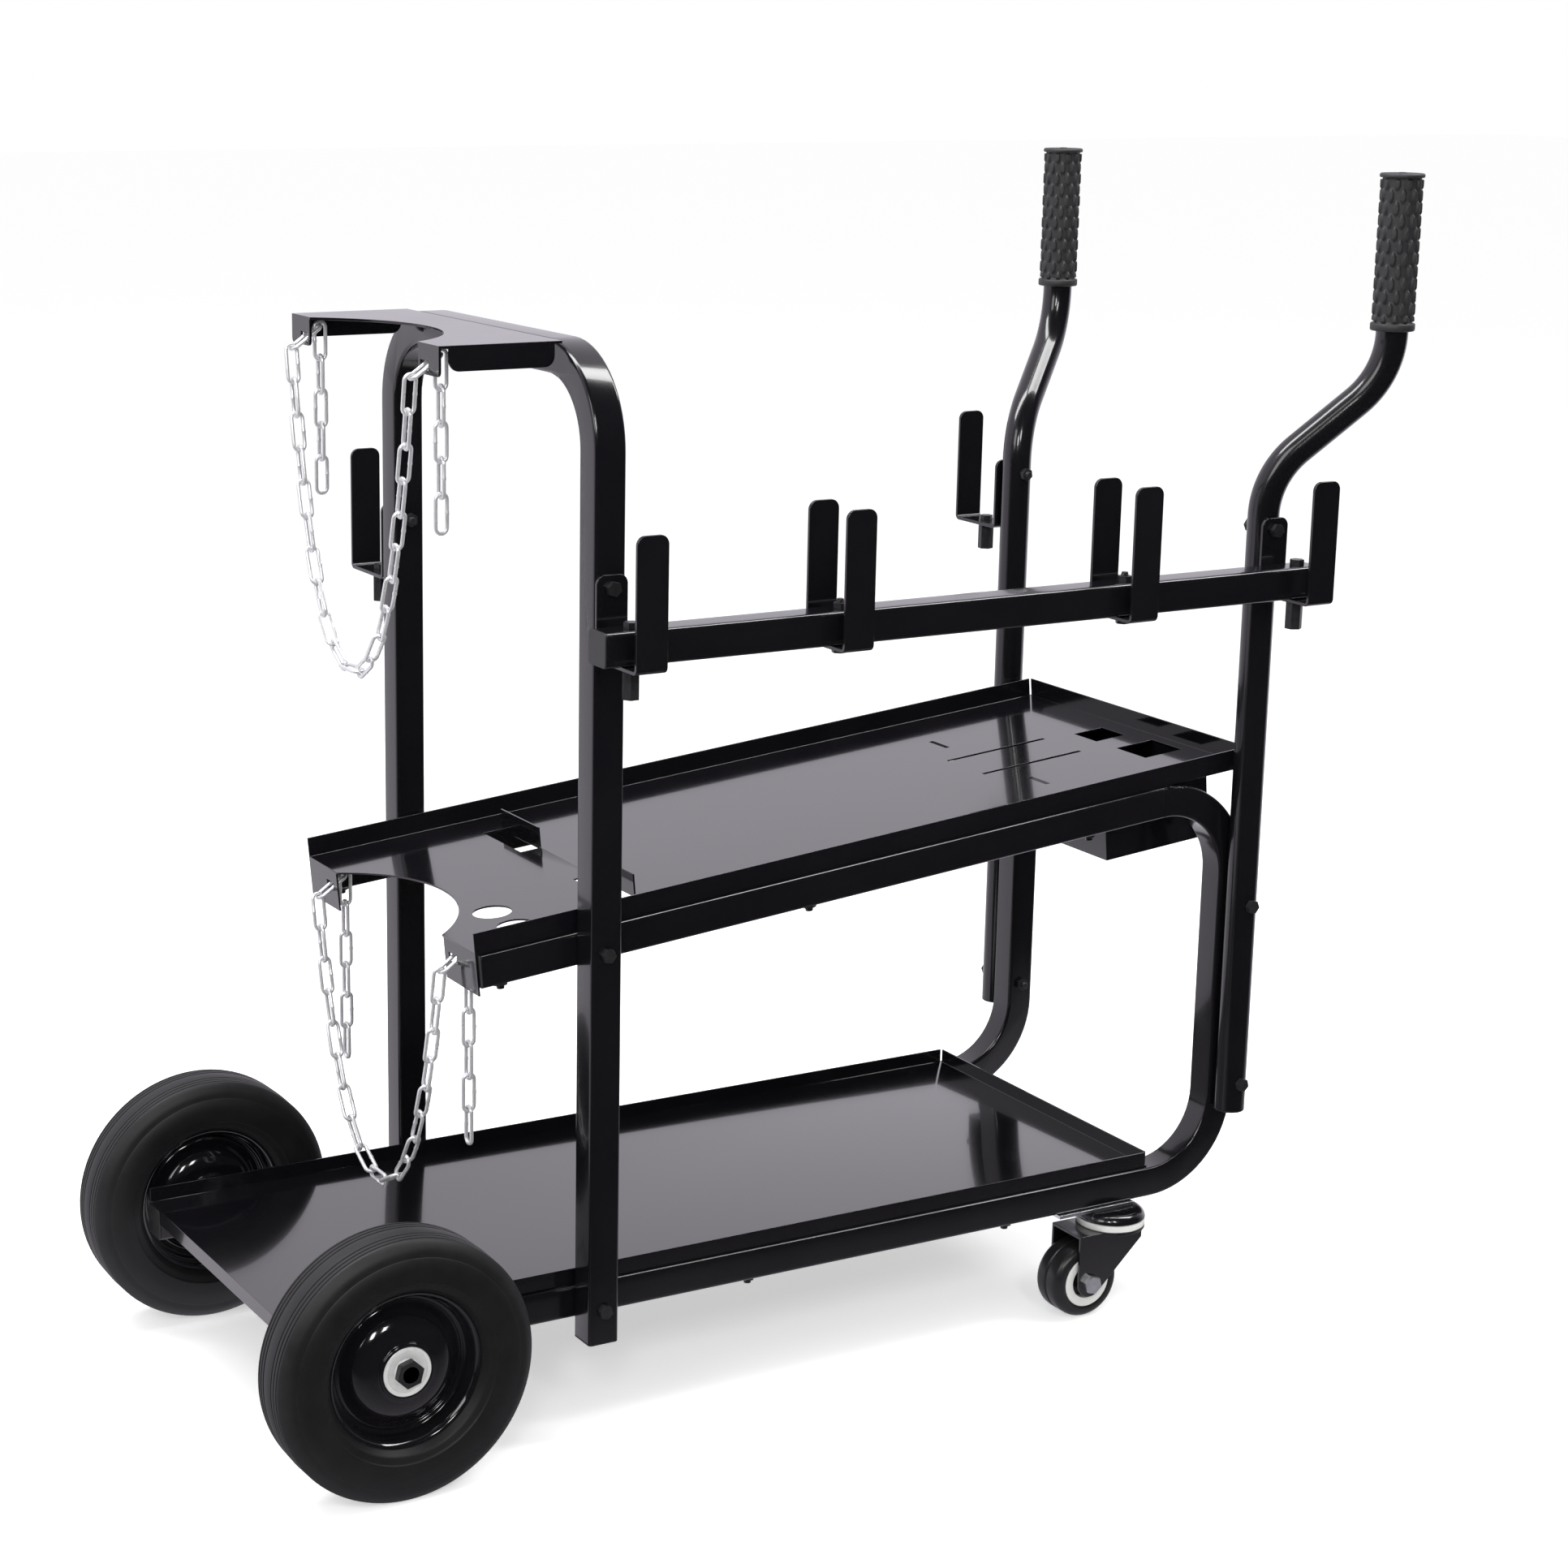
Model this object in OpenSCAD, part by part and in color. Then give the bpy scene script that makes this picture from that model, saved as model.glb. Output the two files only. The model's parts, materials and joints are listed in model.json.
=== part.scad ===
// Welding cart: two trays on tube side frames, an arch and a bracket for the gas bottle,
// a cable rail with hooks, two splayed handles, two rear wheels and two swivel casters.
// X runs along the length towards the handles, Y across, Z up from the floor.

/* [Overall] */
// Length from the back of the rear tyres to the grips
overall_l = 975; // [940:1:1030]
// Width across the outer fingers of the hooks on the posts
overall_w = 489; // [475:1:520]
// Height to the top of the grips
overall_h = 940; // [900:1:1000]

/* [Tubes] */
// Side of the square tube in the frames, the arch and the rail
tube_w = 25.4; // [24:0.1:28]
// Wall of every tube
tube_wall = 1.5; // [1.2:0.1:2.2]
// Outer corner radius of the square tube
tube_r = 3; // [2.4:0.1:5]
// Length of the push-in part of a tube plug
plug_depth = 8; // [5:0.5:12]
// Thickness of a tube plug's cap
plug_cap = 1.5; // [1:0.1:3]

/* [Side frames] */
// Width across the outsides of the two side frames
frame_w = 313.6; // [300:0.1:330]
// Centreline radius of the bends
frame_bend_r = 68; // [50:1:80]
// Reach of the bottom runs past the axle
frame_tail = 61; // [40:1:80]
// Height of the top runs at the upright legs
upper_z = 452.7; // [420:0.1:480]
// Tilt of the top runs and the upper tray in degrees
tilt = 5.3; // [3:0.1:7]

/* [Arch] */
// Distance from the axle forward to the arch
arch_to_axle = 175.6; // [150:0.1:200]
// Height to the top of the arch
arch_h = 828; // [780:1:860]
// Centreline radius of the arch's bends
arch_bend_r = 63; // [50:1:90]
// How far the arch's feet reach below the side frames
arch_foot_drop = 13; // [5:0.5:20]

/* [Trays] */
// Distance from the outside of a side frame in to the tray's lip
tray_inset = 4.1; // [1:0.1:10]
// Thickness of the tray sheet
sheet = 1.5; // [1:0.1:2]
// Height of the lower tray's lips
lower_lip_h = 13; // [8:0.5:20]
// Height of the hem that is turned down at the lower tray's bottle end
lower_hem_h = 12; // [6:0.5:20]
// Gap from the lower tray's handle end to the upright legs
lower_tray_gap = 58; // [50:1:90]
// Height of the upper tray's lips
upper_lip_h = 17; // [10:0.5:25]
// Distance of the upper tray's bottle end behind the arch
tray_past_arch = 93.2; // [75:0.1:110]
// Reach of the upper tray past the middle of the upright legs
upper_tray_nose = 14; // [13:0.5:20]
// Slit between two lips at a tray corner
corner_slit = 0.8; // [0.5:0.1:3]

/* [Gas bottle] */
// Distance from the axle forward to the bottle's middle
bottle_to_axle = 8; // [0:0.5:20]
// Least width of the upper tray's floor beside its notch
tray_rim = 30.7; // [26:0.1:48]
// Distance from the outside of a side frame in to the bracket's side flange
bracket_inset = 25.8; // [16:0.1:32]
// Least width of the bracket's sheet beside its notch
bracket_rim = 19; // [18:0.5:41]
// Reach of the bracket from the arch's middle to its end flanges
bracket_reach = 110; // [102:0.1:114]
// Thickness of the bracket's sheet
bracket_t = 2; // [1.5:0.1:3]
// Depth of the bracket's side flanges
bracket_flange_h = 18.5; // [16:0.5:30]
// Depth of the bracket's two end flanges
bracket_ear_h = 22; // [21:0.5:30]
// Corner radius of the bracket's side flanges
bracket_flange_r = 8; // [4:0.5:10]
// Depth of the upper tray's two end flanges
ear_flange_h = 33; // [22:0.5:40]
// Gap from the notch's corner to the inner edge of those flanges
ear_gap = 2.3; // [1:0.1:8]

/* [Upper tray details] */
// Diameter of the two filler rod holes
rod_hole_d = 30; // [20:0.5:34]
// Distance of the rod holes from the tray's bottle end
rod_hole_back = 53; // [45:0.5:70]
// Distance of the outer rod hole from the tray's lip
rod_hole_in = 37.7; // [35.5:0.1:41]
// Distance between the two rod holes
rod_hole_pitch = 41; // [35:0.5:57]
// Distance of the stop tabs from the tray's bottle end
stop_back = 155; // [140:1:170]
// Height of the stop tabs
stop_h = 17; // [8:0.5:20]
// Length of a stop tab
stop_l = 67; // [50:1:70]
// Distance of the stop tabs from the tray's lips
stop_in = 40.7; // [30:0.1:50]
// Length of the two long strap slots
long_slot_l = 100; // [80:1:160]
// Distance from the tray's handle end back to the long strap slots
long_slot_back = 78; // [64:1:90]
// Distance between the two long strap slots
long_slot_pitch = 52; // [40:1:60]
// Length of the two short strap slots
short_slot_l = 26; // [15:1:35]
// Distance between the two short strap slots
short_slot_pitch = 146; // [130:1:150]
// Width of the strap slots
slot_w = 4; // [2:0.1:5]
// Distance of the short strap slots from the back ends of the long ones
short_slot_in = 21; // [10:1:40]

/* [Pocket] */
// Length of the pocket under the upper tray
pocket_l = 106; // [90:1:110]
// Distance of the pocket's sides from the tray's lips
pocket_in = 42.7; // [32:0.1:58]
// Depth of the pocket
pocket_h = 68; // [40:1:80]
// Width of the pocket's rim flange
pocket_rim = 8; // [5:0.5:12]
// Distance from the tray's handle end back to the two hand openings
hand_hole_back = 50; // [45:1:70]
// Length of the small hand opening
small_hole_l = 30; // [20:1:40]
// Width of the small hand opening
small_hole_w = 32; // [20:1:36]
// Place of the small hand opening across the tray
small_hole_y = 4; // [-6:1:8]
// Length of the large hand opening
large_hole_l = 38; // [30:1:54]
// Width of the large hand opening
large_hole_w = 40; // [30:1:60]
// Place of the large hand opening across the tray
large_hole_y = -60; // [-70:1:-50]

/* [Handles] */
// Diameter of the handle tube
handle_d = 25.4; // [24:0.1:26]
// Width across the two grips
grips_w = 479; // [465:1:486]
// Forward lean from the lower tube to the grip
handle_lean = 75.5; // [60:0.5:90]
// Turn of each bend of the double bend in degrees
handle_turn = 48; // [40:0.5:52]
// Centreline radius of the double bend
handle_bend_r = 74; // [40:1:76]
// Straight neck between the double bend and the grip
handle_neck = 2; // [1:0.5:30]
// Height of the handle's foot above the frame's underside
handle_foot = 72.7; // [60:0.1:90]
// Height of the lower handle bolts above the handle's foot
handle_bolt_low = 24; // [15:0.5:30]
// Distance between the two handle bolts
handle_bolt_pitch = 155; // [130:1:165]
// Length of a grip
grip_l = 123; // [100:1:140]
// Diameter of a grip's body
grip_d = 33; // [31:0.5:35]
// Diameter of a grip's top flange and bottom collar
grip_flange_d = 35; // [34:0.5:42]
// Thickness of a grip's top flange
grip_cap = 4; // [3:0.5:6]
// Height of a grip's bottom collar
grip_collar = 6; // [4:0.5:10]

/* [Hooks and rail] */
// Distance of the hooks' bottom plates below the handles' double bend
hook_drop = 61.4; // [59:0.1:86]
// Width of a hook's strip
hook_w = 25.4; // [20:0.1:26]
// Thickness of a hook's strip
hook_t = 3; // [2:0.1:4]
// Distance across the two fingers of a hook on the rail
hook_span = 54.5; // [52:0.1:60]
// Height of a tall finger
hook_tall = 99; // [80:1:110]
// Height of the two fingers of a hook on the rail
rail_hook_tall = 105; // [80:1:115]
// Height of a short finger
hook_short = 62; // [60:1:70]
// Outer radius of the bends of a hook
hook_bend_r = 5; // [4.5:0.5:8]
// Corner radius of a finger's tip
hook_tip_r = 7; // [3:0.5:10]
// Height of the clamping bolt above the hook's underside
hook_bolt_up = 52; // [46:0.5:53]
// Reach of the rail past the middle of the arch
rail_tail = 26; // [16:0.5:40]
// Reach of the rail past the middle of the handle tubes
rail_nose = 12.7; // [12.5:0.1:16]
// Length of the pegs below the hooks on the posts
peg_l = 23; // [10:1:30]
// Distance across the flats of the pegs
peg_af = 12; // [11:0.1:14]
// Place of the first rail hook, forward of the arch
rail_hook_1 = 174.5; // [150:0.5:190]
// Place of the second rail hook, back from the handles
rail_hook_2 = 171; // [150:1:190]

/* [Rear wheels] */
// Diameter of the rear tyres
wheel_d = 203.2; // [190:0.1:215]
// Width of the rear tyres
tyre_w = 50.6; // [44:0.1:54]
// Length of the axle spacers between the side frames and the hubs
spacer_l = 14.9; // [11:0.1:22]
// Diameter of the rim under the tyre
rim_d = 120; // [110:1:126]
// Thickness of the rim's steel
rim_t = 2.5; // [2:0.1:4]
// Depth of the tread grooves
groove_d = 2; // [1:0.1:3]
// Width of the tread grooves
groove_w = 2; // [1:0.1:3]
// Recess of the hub from the tyre's face
hub_recess = 6.7; // [4:0.1:10]
// Outer diameter of the wheel bearings
bearing_d = 38; // [34:0.5:42]
// Width of the wheel bearings
bearing_w = 9; // [7:0.5:12]
// Diameter of the axle
axle_d = 12.7; // [10:0.1:16]

/* [Casters] */
// Diameter of the caster wheels
caster_d = 63.5; // [58:0.1:68]
// Gap between a caster wheel and each leg of its fork
fork_side = 1.5; // [0.8:0.1:8]
// Height from the floor to the frame's underside
caster_h = 91; // [88:0.5:96]
// Distance of the casters back from the upright legs
caster_back = 106; // [100:1:130]
// Distance of a swivel axis outside the middle of the side tube
caster_out = 8; // [0:0.5:16]
// Trail from the swivel axis to the wheel's axle
caster_trail = 33.1; // [22:0.1:36]
// Diameter of the swivel cup
cup_d = 57.5; // [54:0.5:66]
// Thickness of the caster's mounting plate
plate_t = 3; // [2:0.1:4]
// Length of the mounting plate
plate_l = 76; // [66:1:110]
// Width of the mounting plate
plate_w = 30; // [28:0.5:62]
// Distance of the plate's middle back from the swivel axis
plate_back = 19.5; // [0:0.5:26]
// Height of the swivel cup
cup_h = 7.5; // [4:0.5:8]
// Height of the white ring under the cup
ring_h = 6; // [4:0.5:8]
// Diameter of the swivel rivet
king_d = 10; // [8:0.5:12]
// Height of the swivel rivet's lower head
king_head_h = 2; // [1:0.5:3]
// Width across the fork
fork_w = 40; // [34:0.5:44]
// Thickness of the fork's steel
fork_t = 2.5; // [2:0.1:3]
// Diameter of the fork's rounded lower ends
fork_end_d = 24; // [20:0.5:28]
// Width of the white ring that shows on the wheel's face
core_ring = 8; // [3:0.5:9]
// Wall of the wheel's hub
core_wall = 4; // [2:0.5:5]
// Diameter of the white wheel core
core_d = 44; // [36:0.5:48]
// Diameter of the caster's axle bolt
caster_axle_d = 8; // [6:0.1:9]
// Distance across the flats of that bolt's head and nut
caster_bolt_af = 14; // [12:0.5:16]
// Height of that bolt's head and nut
caster_bolt_head = 5.3; // [4:0.1:6]

/* [Chains] */
// Wire diameter of the chain
wire_d = 3; // [2.5:0.1:3.2]
// Outer length of a link
link_l = 32; // [30:0.1:34]
// Outer width of a link
link_w = 12; // [11.6:0.1:13]
// Number of links in the upper loop
upper_loop_n = 21; // [19:2:25]
// Number of links in the lower loop
lower_loop_n = 19; // [17:2:21]
// Number of links in each upper tail
upper_tail_n = 5; // [3:1:7]
// Number of links in each lower tail
lower_tail_n = 6; // [3:1:7]
// Distance of the upper chain's slots from the inner ends of the bracket's end flanges
upper_chain_in = 10; // [8:0.5:15]
// Distance of the lower chain's slots from the inner ends of the tray's end flanges
lower_chain_in = 14; // [10:0.5:19]
// Tilt of the links that pass through the slots, in degrees
anchor_tilt = 35; // [15:1:38]
// Room above the topmost link of a chain
swing_room = 1.2; // [1:0.1:2]

/* [Fasteners] */
// Diameter of the frame bolts
bolt_d = 6; // [5:0.1:8.5]
// Distance across the flats of their heads and nuts
bolt_af = 10; // [9:0.1:14]
// Height of a bolt's head or a nut
bolt_head = 4.5; // [3:0.1:6]
// Thread that shows past a nut
bolt_end = 3; // [2:0.5:5]
// Diameter of the studs that are welded under the trays
stud_d = 6; // [5:0.1:7]
// Distance across the flats of their nuts
stud_af = 10; // [8:0.1:11]
// Height of their nuts
stud_nut_h = 4; // [3:0.1:5]
// Distance of the end studs from the upper tray's bottle end
stud_in = 22; // [16:0.5:40]
// Distance across the flats of the axle nuts
axle_af = 19; // [18:0.5:24]
// Height of the axle nuts
axle_nut_h = 5.8; // [4:0.1:6]

/* [Clearances] */
// Radial clearance of a bolt in its hole
bolt_gap = 0.2; // [0.1:0.05:0.4]
// Gap between pieces that turn past each other
turn_gap = 0.3; // [0.3:0.05:0.6]
// Radial clearance of a shaft in its bore
shaft_gap = 0.05; // [0.02:0.01:0.1]
// Gap between pieces that sit on or in each other
seat_gap = 0.2; // [0.1:0.05:0.4]
// Slack between two chain links
link_slack = 0.3; // [0.3:0.05:0.5]

/* [Hidden] */
$fn = 48;
over = 1;
seam_t = 0.05;
seam_l = 1;
$grow = 0;
black = [0.05, 0.05, 0.06];
rubber = [0.09, 0.09, 0.1];
zinc = [0.75, 0.76, 0.78];
white = [0.92, 0.92, 0.9];

// Places along, across and above
axle_x = -overall_l / 2 + wheel_d / 2;
axle_z = wheel_d / 2;
arch_x = axle_x + arch_to_axle;
bottle_x = axle_x + bottle_to_axle;
grip_x = overall_l / 2 - grip_flange_d / 2;
leg_x = grip_x - handle_lean;
tail_x = axle_x - frame_tail;
frame_z = caster_h;
floor_z = frame_z + tube_w;
frame_y = frame_w / 2 - tube_w / 2;
leg_y = frame_w / 2 + tube_w / 2;
handle_y = frame_w / 2 + handle_d / 2 + seat_gap;
grip_y = grips_w / 2 - grip_flange_d / 2;
inner_y = frame_y - tube_w / 2;
tray_w = frame_w - 2 * tray_inset;
bracket_w = frame_w - 2 * bracket_inset;
tray_notch_r = tray_w / 2 - tray_rim;
bracket_notch_r = bracket_w / 2 - bracket_rim;

// Height of the top runs' upper side at a place along the cart
function slope_z(x) = upper_z + (x - leg_x) * tan(tilt);

// Half the chord of a circle at a distance from its middle
function half_chord(r, d) = sqrt(r * r - d * d);

// The double bend of a handle: two equal bends with a straight piece between them
handle_out = grip_y - handle_y;
handle_reach = sqrt(handle_lean * handle_lean + handle_out * handle_out);
handle_splay = atan2(handle_out, handle_lean);
handle_mid = (handle_reach - 2 * handle_bend_r * (1 - cos(handle_turn))) / sin(handle_turn);
handle_rise = 2 * handle_bend_r * sin(handle_turn) + handle_mid * cos(handle_turn);
neck_z = overall_h - grip_l - handle_neck;
foot_z = frame_z + handle_foot;
handle_top = overall_h - grip_cap - seat_gap;

// Side frame path: along the floor, up the leg, then back down the slope
bend_x = leg_x - frame_bend_r;
frame_turn_z = frame_z + tube_w / 2 + frame_bend_r;
top_turn_z = upper_z - frame_bend_r * tan(tilt) - (tube_w / 2 + frame_bend_r) / cos(tilt);
top_run_x = bend_x - frame_bend_r * sin(tilt);
tray_end = -(leg_x - arch_x + tray_past_arch) / cos(tilt);
upper_tray_l = upper_tray_nose - tray_end;
cap_room = sheet + seat_gap + plug_cap;
frame_end = leg_x + (tray_end + cap_room) * cos(tilt) + tube_w / 2 * sin(tilt);
tube_start = tail_x + plug_cap;

// Arch
arch_foot_z = frame_z - arch_foot_drop;
arch_leg = arch_h - tube_w / 2 - arch_bend_r - arch_foot_z;

// Lower tray
lower_tray_x1 = leg_x - tube_w / 2 - lower_tray_gap;
hem_half = inner_y - seat_gap;

// Upper tray, measured along its slope from the middle of the upright legs
notch_x = (bottle_x - leg_x) / cos(tilt);
ear_inner_y = half_chord(tray_notch_r, tray_end - notch_x) + ear_gap;
rod_hole_y = tray_w / 2 - rod_hole_in;
pocket_w = tray_w - 2 * pocket_in;
stop_x = tray_end + stop_back;
long_slot_x = upper_tray_nose - long_slot_back - long_slot_l;
short_slot_x = long_slot_x + short_slot_in;
hand_hole_x = upper_tray_nose - hand_hole_back;
pocket_x1 = upper_tray_nose - pocket_rim - sheet - seat_gap;
pocket_x0 = pocket_x1 - pocket_l;

// Bolts of the frame
arch_bolt_zs = [frame_z + tube_w / 2, slope_z(arch_x) - tube_w / 2 / cos(tilt)];
handle_bolt_zs = [foot_z + handle_bolt_low, foot_z + handle_bolt_low + handle_bolt_pitch];
hook_z = neck_z - handle_rise - hook_drop;
hook_bolt_z = hook_z + hook_bolt_up;
upper_stud_shares = [0, 0.5, 1];
lower_stud_shares = [0.12, 0.5, 0.82];
upper_stud_x0 = tray_end + stud_in;
upper_stud_x1 = upper_stud_x0 + upper_tray_l - 2 * frame_bend_r - 2 * stud_in;
upper_stud_xs = [for (share = upper_stud_shares)
    upper_stud_x0 + share * (upper_stud_x1 - upper_stud_x0)];
lower_stud_xs = [for (share = lower_stud_shares)
    tail_x + share * (lower_tray_x1 - tail_x)];

// Hooks and rail
post_y = leg_y + tube_w / 2 + seat_gap;
post_hook_span = overall_w / 2 - post_y;
rail_y = post_y + post_hook_span / 2;
rail_z = hook_z + hook_t + tube_w / 2;
rail_x0 = arch_x - rail_tail;
rail_x1 = leg_x + rail_nose;
rail_hook_xs = [arch_x + rail_hook_1, leg_x - rail_hook_2];
end_hook_xs = [arch_x, leg_x];

// Rear wheels
hub_half = tyre_w / 2 - hub_recess;
wheel_y = frame_w / 2 + seat_gap + spacer_l + turn_gap + hub_half;
hub_d = bearing_d + 2 * seat_gap + 2 * rim_t;
spacer_d = axle_d + 2 * seat_gap + 2 * rim_t;

// Casters
caster_x = leg_x - caster_back;
caster_y = frame_y + caster_out;
plate_x0 = caster_x - plate_back - plate_l / 2;
cup_z = frame_z - plate_t - cup_h;
fork_z = cup_z - turn_gap - ring_h;
caster_w = fork_w - 2 * fork_t - 2 * fork_side;
roll_x = caster_x - caster_trail;
roll_z = caster_d / 2;

// Bracket
bracket_end_x = arch_x - bracket_reach;
bracket_ear_y = half_chord(bracket_notch_r, bracket_end_x - bottle_x) + bracket_t / 2;
upper_chain_y = bracket_ear_y + upper_chain_in;
lower_chain_y = ear_inner_y + lower_chain_in;

// Chain pitches: an edge-on link turns on its own end wires, a flat one on its neighbours'
long_seg = link_l - wire_d;
inset = wire_d + link_slack;
short_seg = long_seg - 2 * inset;
end_seg = long_seg - inset;
ring_r = (link_w - wire_d) / 2;
anchor_dx = long_seg / 2 * cos(anchor_tilt);
anchor_dz = long_seg / 2 * sin(anchor_tilt);
head_room = anchor_dz + inset + wire_d / 2 + swing_room;
slot_over = 0.7;
upper_anchor_x = bracket_end_x + bracket_t / 2;
upper_anchor_z = arch_h - bracket_t - head_room;
lower_anchor_x = leg_x + (tray_end + sheet / 2) * cos(tilt) + head_room * sin(tilt);
lower_anchor_z = slope_z(lower_anchor_x + anchor_dx - link_w / 2) - head_room;

// A hanging chain of equal rigid links: the slope of each grows by the same step
function seg(i, n) = i == 0 || i == n - 1 ? end_seg : i % 2 == 0 ? long_seg : short_seg;
function lean(i, n, k) = atan(k * (i - (n - 1) / 2));
function reach(n, k, i = 0) = i == n ? 0 : seg(i, n) * cos(lean(i, n, k)) + reach(n, k, i + 1);
function sag_step(n, w, lo = 0, hi = 8, tries = 40) =
    let (mid = (lo + hi) / 2)
    tries == 0 ? mid
    : reach(n, mid) > w ? sag_step(n, w, mid, hi, tries - 1)
    : sag_step(n, w, lo, mid, tries - 1);
function chain_dir(i, n, k) = [cos(lean(i, n, k)), sin(lean(i, n, k))];
function chain_point(i, n, k) =
    i == 0 ? [0, 0] : chain_point(i - 1, n, k) + seg(i - 1, n) * chain_dir(i - 1, n, k);
function tail_point(i) =
    i == 0 ? 0 : tail_point(i - 1) + (i == 1 ? end_seg : i % 2 == 0 ? short_seg : long_seg);

module soft_square(w, r) {
    square([w, w - 2 * r], center = true);
    square([w - 2 * r, w], center = true);
    for (x = [-1, 1], y = [-1, 1])
        translate([x * (w / 2 - r), y * (w / 2 - r)])
            circle(r);
}

module square_ring() {
    inner = tube_w - 2 * tube_wall - 2 * $grow;
    difference() {
        soft_square(tube_w + 2 * $grow, tube_r + $grow);
        soft_square(inner, tube_r - tube_wall - $grow);
    }
}

module round_ring() {
    difference() {
        circle(d = handle_d + 2 * $grow);
        circle(d = handle_d - 2 * tube_wall - 2 * $grow);
    }
}

// Sweeps a section along straight runs and bends: each step is [run, turn, radius].
// A bead as thin as paint closes the seam where a bend other than a right angle ends.
module tube_path(steps, i = 0) {
    if (i < len(steps)) {
        run = steps[i][0];
        turn = steps[i][1];
        r = steps[i][2];
        side = turn < 0 ? -1 : 1;
        linear_extrude(run)
            children();
        translate([0, 0, run]) {
            if (turn != 0)
                rotate([0, 0, 90 - 90 * side])
                    translate([r, 0, 0])
                        rotate([90, 0, 180])
                            rotate_extrude(angle = abs(turn))
                                translate([r, 0])
                                    children();
            translate([side * r, 0, 0])
                rotate([0, turn, 0])
                    translate([-side * r, 0, 0]) {
                        if (abs(turn) % 90 != 0)
                            let ($grow = seam_t)
                                translate([0, 0, -seam_l / 2])
                                    linear_extrude(seam_l)
                                        children();
                        tube_path(steps, i + 1)
                            children();
                    }
        }
    }
}

module on_slope() {
    translate([leg_x, 0, upper_z])
        rotate([0, -tilt, 0])
            children();
}

// Turns a shape that stands on zero so that it points from one side towards the middle
module inward(s, x, y, z) {
    translate([x, s * y, z])
        rotate([90 * s, 0, 0])
            children();
}

module ring(d_out, d_in, h) {
    difference() {
        cylinder(d = d_out, h = h);
        translate([0, 0, -over])
            cylinder(d = d_in, h = h + 2 * over);
    }
}

module hole_y(x, y, z, d, l) {
    translate([x, y, z])
        rotate([90, 0, 0])
            cylinder(d = d + 2 * bolt_gap, h = l + 2 * over, center = true);
}

module hole_z(x, y, z, d, l) {
    translate([x, y, z])
        cylinder(d = d + 2 * bolt_gap, h = l + 2 * over, center = true);
}

module hexagon(af, h) {
    cylinder(d = af / cos(30), h = h, $fn = 6);
}

module nut(d, af, h) {
    difference() {
        hexagon(af, h);
        translate([0, 0, -over])
            cylinder(d = d + 2 * shaft_gap, h = h + 2 * over);
    }
}

// A bolt that stands head down: its head under zero, then the pieces it holds, then its nut
module bolt(d, af, head, held, nut_h) {
    translate([0, 0, -head])
        hexagon(af, head);
    cylinder(d = d, h = held + nut_h + bolt_end);
    translate([0, 0, held])
        nut(d, af, nut_h);
}

module plug(w, r) {
    translate([0, 0, -plug_cap])
        linear_extrude(plug_cap)
            soft_square(w, r);
    linear_extrude(plug_depth)
        soft_square(w - 2 * tube_wall - 2 * seat_gap, r - tube_wall);
}

module round_plug() {
    translate([0, 0, -plug_cap])
        cylinder(d = handle_d, h = plug_cap);
    cylinder(d = handle_d - 2 * tube_wall - 2 * seat_gap, h = plug_depth);
}

module arch() {
    color(black)
        difference() {
            translate([arch_x, -leg_y, arch_foot_z])
                rotate([0, 0, 90])
                    tube_path([[arch_leg, 90, arch_bend_r],
                        [2 * leg_y - 2 * arch_bend_r, 90, arch_bend_r], [arch_leg, 0, 0]])
                        square_ring();
            for (s = [-1, 1], z = concat(arch_bolt_zs, [hook_bolt_z]))
                hole_y(arch_x, s * leg_y, z, bolt_d, tube_w);
        }
}

module side_frame(s) {
    color(black)
        difference() {
            translate([tube_start, s * frame_y, frame_z + tube_w / 2])
                rotate([180, 0, 0])
                    rotate([0, 90, 0])
                        tube_path([[bend_x - tube_start, 90, frame_bend_r],
                            [top_turn_z - frame_turn_z, 90 + tilt, frame_bend_r],
                            [(top_run_x - frame_end) / cos(tilt), 0, 0]])
                            square_ring();
            for (z = arch_bolt_zs)
                hole_y(arch_x, s * frame_y, z, bolt_d, tube_w);
            for (z = handle_bolt_zs)
                hole_y(leg_x, s * frame_y, z, bolt_d, tube_w);
            hole_y(axle_x, s * frame_y, axle_z, axle_d, tube_w);
            for (x = lower_stud_xs)
                hole_z(x, s * frame_y, frame_z + tube_w / 2, stud_d, tube_w);
            on_slope()
                for (x = upper_stud_xs)
                    hole_z(x, s * frame_y, -tube_w / 2, stud_d, tube_w);
        }
}

// A floor with side lips and a handle-end lip that are bent up from the same sheet
module pan(x0, x1, lip_h) {
    translate([x0, -tray_w / 2, 0])
        cube([x1 - x0, tray_w, sheet]);
    for (y = [-tray_w / 2, tray_w / 2 - sheet])
        translate([x0, y, 0])
            cube([x1 - x0 - sheet - corner_slit, sheet, lip_h]);
    translate([x1 - sheet, -tray_w / 2 + sheet + corner_slit, 0])
        cube([sheet, tray_w - 2 * sheet - 2 * corner_slit, lip_h]);
}

// Studs welded under a floor, which pass through the side tubes to their nuts
module studs(xs) {
    l = sheet / 2 + tube_w + stud_nut_h + bolt_end;
    for (x = xs, s = [-1, 1])
        translate([x, s * frame_y, sheet / 2 - l])
            cylinder(d = stud_d, h = l);
}

module lower_tray() {
    color(black)
        translate([0, 0, floor_z]) {
            pan(tail_x, lower_tray_x1, lower_lip_h);
            translate([tail_x, -hem_half, sheet - lower_hem_h])
                cube([sheet, 2 * hem_half, lower_hem_h]);
            studs(lower_stud_xs);
        }
}

module floor_cut(x, y, l, w) {
    translate([x, y - w / 2, -over])
        cube([l, w, sheet + 2 * over]);
}

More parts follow.
